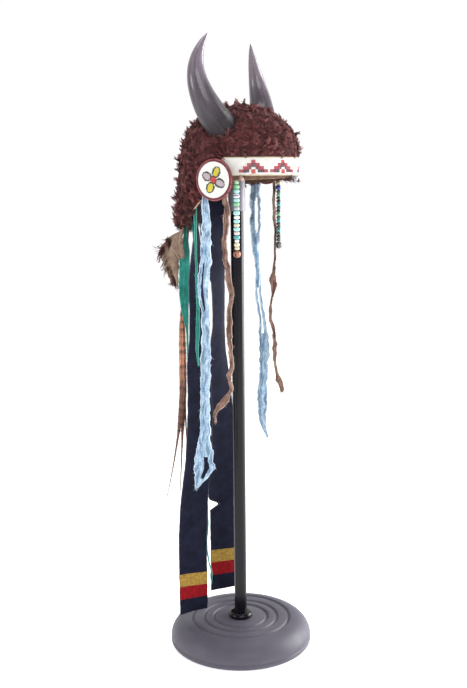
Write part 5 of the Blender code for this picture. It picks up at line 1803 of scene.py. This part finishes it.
@dataclass
class Tufts:
    """Small locks of hair on the hide's tail, the flap's edge and under the band."""

    head: HeadForm

    def build(self, finishes: Finishes, planting: GrowTree, locks: bpy.types.Collection) -> None:
        """Plant the tufts.

        Args:
            finishes: The materials.
            planting: The planting tree.
            locks: The wool locks.
        """
        rng = random.Random(77)
        spots = []
        for _ in range(70):
            angle = rng.uniform(-38.0, 30.0)
            height = self.head.rim - 0.0045 + rng.uniform(-0.0006, 0.0015)
            place = self.head.at_height(angle, height, self.head.wall * rng.uniform(0.1, 0.8))
            spots.append(self.spot(rng, place, Vector((0.0, 0.0, -1.0)), rng.uniform(0.30, 0.62)))
        for _ in range(120):
            angle = rng.uniform(118.0, 242.0)
            place = self.head.point(angle, -1.0, self.head.wall, self.head.drop(angle))
            out = self.head.outward(angle, self.head.rim - 0.03)
            spots.append(self.spot(rng, place, out * 0.4 - UP, rng.uniform(0.45, 0.95)))
        low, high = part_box("hide_tail")
        for index in range(76):
            share = (0.25, 0.42, 0.66, 0.92)[index % 4] + rng.uniform(-0.09, 0.09)
            height = mix(high[2], low[2], max(0.05, min(1.0, share)))
            across, back = self.middle_at("hide_tail", height)
            place = Vector((across, back - rng.uniform(0.0, 0.006), height))
            aim = Vector((-0.1, 0.9, -0.55)) if share < 0.7 else Vector((-0.1, 0.45, -0.9))
            spots.append(self.spot(rng, place, aim, rng.uniform(0.6, 1.3)))
        hair = plant(planting, "hair_tufts", spots, locks, finishes.wool, 0.15)
        settle(hair, ())

    def middle_at(self, node: str, height: float) -> tuple[float, float]:
        """The X and Y of a node's points nearest a height."""
        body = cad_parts[node]
        near = sorted(body.data.vertices, key=lambda vertex: abs(vertex.co.z - height))[:12]
        back = max(vertex.co.y for vertex in near)
        return sum(vertex.co.x for vertex in near) / len(near), back - 0.002

    def spot(self, rng: random.Random, place: Vector, aim: Vector, size: float) -> dict:
        """A spot whose lock points along aim."""
        sway = Vector((rng.uniform(-0.35, 0.35), rng.uniform(-0.35, 0.35), rng.uniform(-0.3, 0.3)))
        way = (aim + sway).normalized()
        across = way.cross(Vector((rng.random(), rng.random(), 0.1))).normalized()
        return {"place": place, "turn": turn_of(across, way), "size": (size, size, size),
                "tone": (0.1, 0.05, 0.05), "kind": rng.randrange(6)}


@dataclass
class Feather:
    """A long barred tail feather with a quill, a vane and separate barbs."""

    node: str
    side: float

    def centres(self) -> list[tuple[Vector, float]]:
        """The quill's points from the top down, with half the vane's width at each."""
        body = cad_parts[self.node]
        spots = sorted({tuple(round(part, 6) for part in vertex.co) for vertex in body.data.vertices},
                       key=lambda spot: -spot[2])
        rings: list[list[tuple]] = []
        for spot in spots:
            if rings and rings[-1][0][2] - spot[2] < 0.0005:
                rings[-1].append(spot)
            else:
                rings.append([spot])
        return [(sum((Vector(spot) for spot in ring), Vector()) / len(ring),
                 (max(spot[1] for spot in ring) - min(spot[1] for spot in ring)) / 2) for ring in rings]

    def tone(self, below: float, out: float) -> Colour:
        """The vane's colour: orange-brown with dark bars, darker at the root."""
        bar = math.sin(2 * math.pi * (below / 0.0135 + 0.25 * out))
        dark = 1.0 if bar > 0.55 else 0.0
        root = max(0.0, 1.0 - below / 0.11)
        tip = min(1.0, max(0.0, below - 0.25) / 0.05)
        plain = [mix(part, deep, root * 0.75) for part, deep in zip((0.80, 0.36, 0.22), (0.095, 0.025, 0.020))]
        base = [mix(part, deep, tip * 0.80) for part, deep in zip(plain, (0.12, 0.055, 0.035))]
        return tuple(mix(part, deep, dark * 0.90) for part, deep in zip(base, (0.045, 0.016, 0.012)))

    def build(self, finishes: Finishes, planting: GrowTree, barbs: bpy.types.Collection) -> None:
        """Build the quill, the thin vane and the barbs."""
        known = self.centres()
        line = [Vector(centre) for centre, _ in known]
        widths = [Vector((half, 0.0, 0.0)) for _, half in known]
        last = len(line) - 1
        quill = MeshDraft()
        vane = MeshDraft()
        path, radii, rows, rim, spots = [], [], [], [], []
        below = 0.0
        steps = 380
        before = line[0]
        rng = random.Random(int(self.side * 10) + 50)
        for i in range(steps + 1):
            place = last * i / steps
            centre = spline(line, place)
            below += (centre - before).length
            before = centre
            half = max(0.0006, spline(widths, place).x)
            ahead = (spline(line, min(last, place + 0.05)) - spline(line, max(0.0, place - 0.05))).normalized()
            across = Vector((0.0, 1.0, 0.0))
            across = (across - ahead * across.dot(ahead)).normalized()
            if i % 6 == 0:
                path.append(centre)
                radii.append(mix(0.00085, 0.00038, i / steps))
                row = []
                for share in (-1.0, -0.5, 0.0, 0.5, 1.0):
                    row.append(centre + across * (share * half * 0.80) + Vector((0.0003 * abs(share), 0.0, 0.0)))
                    vane.colours.append(self.tone(below, abs(share)))
                rows.append(row)
            if below > 0.012:
                for way in (-1.0, 1.0):
                    out = (across * way + ahead * rng.uniform(0.55, 1.25)).normalized()
                    size = half * 1.50 * rng.uniform(0.62, 1.12)
                    spots.append({"place": centre, "turn": turn_of(out, ahead), "size": (size, 1.0, 1.0),
                                  "tone": self.tone(below + size * 0.4, 0.6)})
        quill.tube(path, radii, 8)
        quill.colours = [(0.15, 0.085, 0.060)] * len(quill.points)
        vane.grid(rows)
        settle(quill.finish(self.node + "_quill", finishes.barbs), (self.node,))
        sheet = vane.finish(self.node + "_vane", finishes.barbs, outwards=False)
        wall = sheet.modifiers.new("wall", "SOLIDIFY")
        wall.thickness = 0.0003
        wall.offset = 0.0
        settle(sheet, ())
        settle(plant(planting, self.node + "_barbs", spots, barbs, finishes.barbs, 0.05), ())


@dataclass
class Stand:
    """The display stand: base, collar, pole, sleeve, rod and rest."""

    base_radius: float = 0.127
    base_height: float = 0.044
    rim_height: float = 0.012
    top_radius: float = 0.0915
    grooves: tuple[float, ...] = (0.048, 0.066, 0.0875)
    groove_width: float = 0.0085
    groove_depth: float = 0.0033
    gap: float = 0.0003
    pole_radius: float = 0.0111
    pole_top: float = 0.800

    def base_profile(self) -> list[tuple[float, float]]:
        """The base's outline from the middle of its top to the middle of its underside."""
        profile = [(0.0, self.base_height)]
        for radius in self.grooves:
            half = self.groove_width / 2
            for i in range(-6, 7):
                share = i / 6
                dip = self.groove_depth * (0.5 + 0.5 * math.cos(math.pi * share))
                profile.append((radius + half * share, self.base_height - dip))
        run = self.base_radius - self.top_radius
        fall = self.base_height - self.rim_height
        for i in range(25):
            climb = math.radians(86.0 * i / 24)
            profile.append((self.top_radius + run * math.sin(climb), self.rim_height + fall * math.cos(climb)))
        rim = self.rim_height / 2
        profile += arc((self.base_radius - rim, rim), rim, 40, -88, 12)
        profile.append((0.0, 0.0))
        return profile

    def build(self, finishes: Finishes) -> None:
        """Build the stand's base, pole, collar, sleeve and rod."""
        base = turned("base_smooth", self.base_profile(), 160, finishes.base_paint)
        settle(base, ("stand_base",))
        low = self.base_height + self.gap
        pole = turned("pole_smooth", [(0.0, self.pole_top), (self.pole_radius - 0.0005, self.pole_top),
                                      (self.pole_radius, self.pole_top - 0.0005), (self.pole_radius, low),
                                      (0.0, low)], 64, finishes.pole_paint)
        settle(pole, ("stand_pole",))
        self.build_collar(finishes, low)
        self.build_head(finishes)

    def build_collar(self, finishes: Finishes, low: float) -> None:
        """The glossy collar at the pole's foot."""
        bore = self.pole_radius + self.gap
        profile = [(bore, low), (bore, low + 0.0086), (bore + 0.0004, low + 0.009)]
        profile += arc((0.0150, low + 0.0030), 0.0060, 90, 0, 10)
        profile += [(0.021, low), (bore, low)]
        settle(turned("collar_smooth", profile, 64, finishes.pole_paint), ("stand_foot_collar",))

    def build_head(self, finishes: Finishes) -> None:
        """The sleeve over the pole's top and the rod."""
        low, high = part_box("stand_sleeve")
        radius = (high[0] - low[0]) / 2
        bore, rod_bore = self.pole_radius + self.gap, 0.0083
        step = self.pole_top + self.gap
        bevel = 0.0007
        profile = [(bore, low[2]), (bore, step), (rod_bore, step), (rod_bore, high[2]), (radius - bevel, high[2]),
                   (radius, high[2] - bevel), (radius, low[2] + bevel), (radius - bevel, low[2]), (bore, low[2])]
        settle(turned("sleeve_smooth", profile, 64, finishes.pewter), ("stand_sleeve",))
        for node, slot, finish in (("stand_top_rod", "pole_paint", finishes.pole_paint),):
            low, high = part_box(node)
            radius = (high[0] - low[0]) / 2
            rod = turned(node + "_smooth", [(0.0, high[2]), (radius, high[2]), (radius, low[2]), (0.0, low[2])],
                         48, finish)
            settle(rod, (node,))


class Studio:
    """The pale floor, soft lights, white surround and camera at the photograph's angle."""

    camera_place: Vector = Vector((-1.4356, -0.8195, 0.8135))
    azimuth: float = 60.0
    tilt: float = 9.14
    roll: float = 0.6
    lens: float = 50.08

    def build(self) -> None:
        """Set up the floor, lights, world and camera."""
        self.build_floor()
        self.build_lights()
        self.build_world()
        self.build_camera()

    def build_floor(self) -> None:
        """A wide pale floor under the stand."""
        material, _, shader = start_material("studio_floor", 0.7)
        shader.inputs["Base Color"].default_value = (0.96, 0.96, 0.96, 1.0)
        shader.inputs["Specular IOR Level"].default_value = 0.2
        shader.inputs["Emission Color"].default_value = (1.0, 1.0, 1.0, 1.0)
        shader.inputs["Emission Strength"].default_value = 0.50
        draft = MeshDraft()
        draft.points = [Vector((x, y, 0.0)) for x, y in ((-9, -9), (9, -9), (9, 9), (-9, 9))]
        draft.faces = [(0, 1, 2, 3)]
        floor = draft.finish("studio_floor", material, smooth=False, outwards=False)

    def build_lights(self) -> None:
        """Broad soft lights left, right and over the subject."""
        rows = (
            ("key", (-2.4, -2.2, 2.4), (0.0, 0.0, 0.75), 2.4, 66.0),
            ("fill", (2.1, -1.9, 1.1), (0.0, 0.0, 0.6), 2.2, 150.0),
            ("left", (-2.4, 1.9, 1.5), (0.0, 0.0, 0.6), 1.0, 26.0),
            ("top", (0.3, 0.2, 3.2), (0.0, 0.0, 0.5), 1.6, 40.0),
        )
        for name, place, target, size, power in rows:
            lamp = bpy.data.lights.new(name, "AREA")
            lamp.size = size
            lamp.energy = power
            light = bpy.data.objects.new(name, lamp)
            light.location = place
            aim = Vector(target) - Vector(place)
            light.rotation_euler = aim.to_track_quat("-Z", "Y").to_euler()
            bpy.context.scene.collection.objects.link(light)

    def build_world(self) -> None:
        """A white backdrop behind the subject that fades to a dim room before it."""
        bpy.context.scene.view_settings.view_transform = "Standard"
        world = bpy.data.worlds.new("studio")
        world.use_nodes = True
        wiring = Wiring(world.node_tree)
        turn = math.radians(self.azimuth)
        way = wiring.add("ShaderNodeTexCoord").outputs["Generated"]
        facing = wiring.add("ShaderNodeVectorMath", {0: way, 1: (math.sin(turn), math.cos(turn), 0.0)},
                            operation="DOT_PRODUCT")
        bright = wiring.add("ShaderNodeMapRange", {0: facing.outputs["Value"], 1: -0.15, 2: 0.75,
                                                   3: 0.30, 4: 1.02})
        height = wiring.math("ABSOLUTE", wiring.add("ShaderNodeSeparateXYZ", {0: way}).outputs[2])
        rim = wiring.math("MULTIPLY", wiring.ramp(height, 0.42, 0.10), 0.62)
        ground = world.node_tree.nodes["Background"]
        ground.inputs[0].default_value = (1.0, 1.0, 1.0, 1.0)
        wiring.tree.links.new(wiring.math("MAXIMUM", bright.outputs[0], rim), ground.inputs[1])
        bpy.context.scene.world = world

    def build_camera(self) -> None:
        """The camera, placed by reading the photograph's perspective."""
        turn, dip, roll = (math.radians(part) for part in (self.azimuth, self.tilt, self.roll))
        right = Vector((math.cos(turn), -math.sin(turn), 0.0))
        back = Vector((-math.sin(turn), -math.cos(turn), 0.0))
        ahead = -back * math.cos(dip) - UP * math.sin(dip)
        rise = right.cross(ahead)
        across = right * math.cos(roll) - rise * math.sin(roll)
        upward = rise * math.cos(roll) + right * math.sin(roll)
        lens = bpy.data.cameras.new("camera")
        lens.sensor_fit = "VERTICAL"
        lens.sensor_height = 36.0
        lens.lens = self.lens
        camera = bpy.data.objects.new("camera", lens)
        turned_to = Matrix((across, upward, -ahead)).transposed().to_4x4()
        camera.matrix_world = Matrix.Translation(self.camera_place) @ turned_to
        bpy.context.scene.collection.objects.link(camera)
        bpy.context.scene.camera = camera


AQUA: Colour = (0.32, 0.66, 0.62)
PALE_GREEN: Colour = (0.42, 0.62, 0.34)
GREEN: Colour = (0.18, 0.50, 0.24)
DEEP_BLUE: Colour = (0.02, 0.05, 0.32)
CHALK: Colour = (0.78, 0.78, 0.72)
CLOUDY: Colour = (0.42, 0.46, 0.46)
IVORY: Colour = (0.68, 0.60, 0.38)
PINKISH: Colour = (0.72, 0.58, 0.56)
SEA: Colour = (0.05, 0.34, 0.34)
BOTTLE: Colour = (0.018, 0.075, 0.055)
INK: Colour = (0.012, 0.014, 0.022)
OLIVE: Colour = (0.46, 0.42, 0.24)

RIGHT_STRING = (
    StringBead(0.0040, 0.0062, PALE_GREEN), StringBead(0.0052, 0.0075, GREEN),
    # The deep blue bead's chalk-white ends are painted reflections, not a second glass colour.
    StringBead(0.0052, 0.0070, AQUA), StringBead(0.0054, 0.0078, DEEP_BLUE, CHALK),
    StringBead(0.0052, 0.0066, AQUA), StringBead(0.0052, 0.0068, GREEN),
    StringBead(0.0048, 0.0062, CLOUDY), StringBead(0.0055, 0.0082, AQUA),
    StringBead(0.0048, 0.0060, CHALK), StringBead(0.0052, 0.0068, AQUA),
    StringBead(0.0048, 0.0060, IVORY), StringBead(0.0052, 0.0070, AQUA),
    StringBead(0.0048, 0.0060, PINKISH), StringBead(0.0052, 0.0070, SEA),
    StringBead(0.0038, 0.0050, CHALK), StringBead(0.0046, 0.0070, IVORY),
    StringBead(0.0040, 0.0052, IVORY),
)
LEFT_TONES = (BOTTLE, GREEN, BOTTLE, INK, SEA, BOTTLE, INK, GREEN, BOTTLE, SEA, INK, BOTTLE, SEA, BOTTLE, INK,
              BOTTLE)
LEFT_STRING = (
    StringBead(0.0050, 0.0074, OLIVE), StringBead(0.0052, 0.0086, DEEP_BLUE),
) + tuple(StringBead(0.0042, 0.0056, tone) for tone in LEFT_TONES)


def make_seed_bead() -> bpy.types.Object:
    """One seed bead, its hole along Z."""
    draft = MeshDraft()
    draft.tube([Vector((0.0, 0.0, z)) for z in (-0.00074, 0.0, 0.00074)], [0.00058, 0.00086, 0.00058], 6)
    return draft.finish("seed_bead")


def make_barb() -> bpy.types.Object:
    """One feather barb along X, of unit length, which its spot scales."""
    draft = MeshDraft()
    path = [Vector((t, 0.0, -0.0007 * t * t)) for t in (0.0, 0.35, 0.7, 1.0)]
    draft.tube(path, [0.00030, 0.00036, 0.00028, 0.00008], 3)
    return draft.finish("barb")


def build_strips(finishes: Finishes) -> None:
    """Build the torn cotton strips, the trailers, the tail and the tab."""
    pale_blue, pale_tan = (0.50, 0.63, 0.76), (0.36, 0.26, 0.21)
    blue = dict(slot="blue_cotton", thickness=0.0007, fray_colour=pale_blue, frays=90, ragged=0.26,
                folds=0.0034, fold_count=1.5, pinch=0.12)
    tan = dict(slot="tan_cotton", thickness=0.0007, fray_colour=pale_tan, frays=90, ragged=0.52,
               folds=0.0034, fold_count=1.2, pinch=0.42)
    teal = dict(slot="teal_cotton", thickness=0.0007, fray_colour=(0.12, 0.50, 0.40), frays=50, ragged=0.12)
    slit = (Gap(-0.13, 0.24, 0.112, 0.200), Gap(0.13, 0.26, 0.440, 0.484))
    split = (Gap(0.14, 0.22, 0.030, 0.105), Gap(0.0, 0.34, 0.195, 0.285))
    for side, gaps in ((Side.RIGHT, slit), (Side.LEFT, split)):
        name = side.name.lower()
        Strip("ribbon_blue_" + name, gaps=gaps, rests_on=("rosette_backing_" + name,), **blue).build(
            finishes.blue, finishes.thread)
        Strip("ribbon_tan_" + name, rests_on=("rosette_backing_" + name,), **tan).build(
            finishes.tan, finishes.thread)
    moves = {"back": ((0.0, 0.0, 0.0), (0.03, -0.002, 0.003), (0.06, -0.003, 0.006), (0.12, -0.001, 0.005),
                      (0.17, 0.0, 0.001), (0.20, 0.0, 0.0)),
             "side": ((0.0, 0.0, 0.0),),
             "long": ((0.0, 0.0, 0.0), (0.40, 0.0, 0.0), (0.47, 0.004, 0.004), (0.60, 0.004, 0.004),
                      (0.67, 0.0, 0.0))}
    for name, shifts in moves.items():
        Strip("ribbon_teal_" + name, shifts=shifts, rests_on=("hide_cap",), **teal).build(
            finishes.teal, finishes.thread)
    trailer = dict(slot="navy_wool", thickness=0.0017, columns=20, step=0.0034, folds=0.0011, fold_count=1.1,
                   ragged=0.02, frays=60, fray_length=0.004, fray_colour=(0.05, 0.05, 0.08),
                   rests_on=("hide_cap",))
    near = ((0.0, 0.0, 0.0), (0.030, 0.003, 0.002), (0.085, 0.012, 0.008), (0.135, 0.015, 0.013),
            (0.190, 0.014, 0.011), (0.245, 0.013, 0.006), (0.300, 0.006, 0.002), (0.400, 0.002, 0.003),
            (0.500, 0.0, 0.0))
    far = ((0.0, 0.0, 0.0), (0.100, 0.0, 0.004), (0.135, 0.002, 0.006), (0.165, 0.014, 0.004),
           (0.245, 0.006, -0.003), (0.290, -0.004, -0.004), (0.400, -0.005, 0.0), (0.560, -0.005, 0.0),
           (0.600, 0.0, 0.0))
    Strip("trailer_right", shifts=near, hem_lift=(0.006, 0.012), **trailer).build(finishes.navy, finishes.thread)
    Strip("trailer_left", shifts=far, hem_lift=(0.001, 0.004), notch=(0.172, 0.010, 0.024), **trailer).build(
        finishes.navy, finishes.thread)
    hide = dict(slot="suede", thickness=0.0022, frays=0, ragged=0.34, folds=0.0048, fold_count=1.1, columns=14)
    for name in ("hide_tail", "hide_tab"):
        Strip(name, **hide).build(finishes.suede, finishes.thread, held="")


def build_brow_bells(finishes: Finishes) -> None:
    """The small balls and bells under the band."""
    tones = {"right": (0.45, 0.31, 0.26), "centre": (0.36, 0.35, 0.36), "left": (0.10, 0.09, 0.10)}
    for name, colour in tones.items():
        low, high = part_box("brow_bell_" + name)
        middle = Vector([(a + b) / 2 for a, b in zip(low, high)])
        bell = make_bell("brow_ball_" + name, middle, (high[0] - low[0]) / 2, colour, finishes.bells)
        settle(bell, ("brow_bell_" + name,))


def main() -> None:
    """Build every piece and the studio."""
    logging.basicConfig(level=logging.INFO, format="%(name)s: %(message)s")
    finishes = Finishes()
    planting = make_planting_tree()
    seeds = make_parts("seed_beads", [make_seed_bead()])
    barbs = make_parts("barbs", [make_barb()])
    head = HeadForm()
    rosettes = Rosettes(head)
    cap = WoolCap(head, rosettes)
    Stand().build(finishes)
    Horns(head).build(finishes)
    cap.build(finishes)
    BrowBand(head).build(finishes, planting, seeds)
    rosettes.build(finishes, planting, seeds)
    BeadString(Side.RIGHT, RIGHT_STRING, (0.42, 0.20, 0.14)).build(finishes)
    BeadString(Side.LEFT, LEFT_STRING, (0.20, 0.19, 0.20)).build(finishes)
    build_brow_bells(finishes)
    build_strips(finishes)
    wisps = WoolCap(head, rosettes, strands=6, clumps=1)
    locks = make_parts("tuft_locks", [wisps.make_lock(number) for number in range(cap.lock_kinds)])
    Tufts(head).build(finishes, planting, locks)
    for number, name in enumerate(("feather_outer", "feather_middle", "feather_inner")):
        Feather(name, float(number)).build(finishes, planting, barbs)
    Studio().build()


if __name__ == "__main__":
    main()
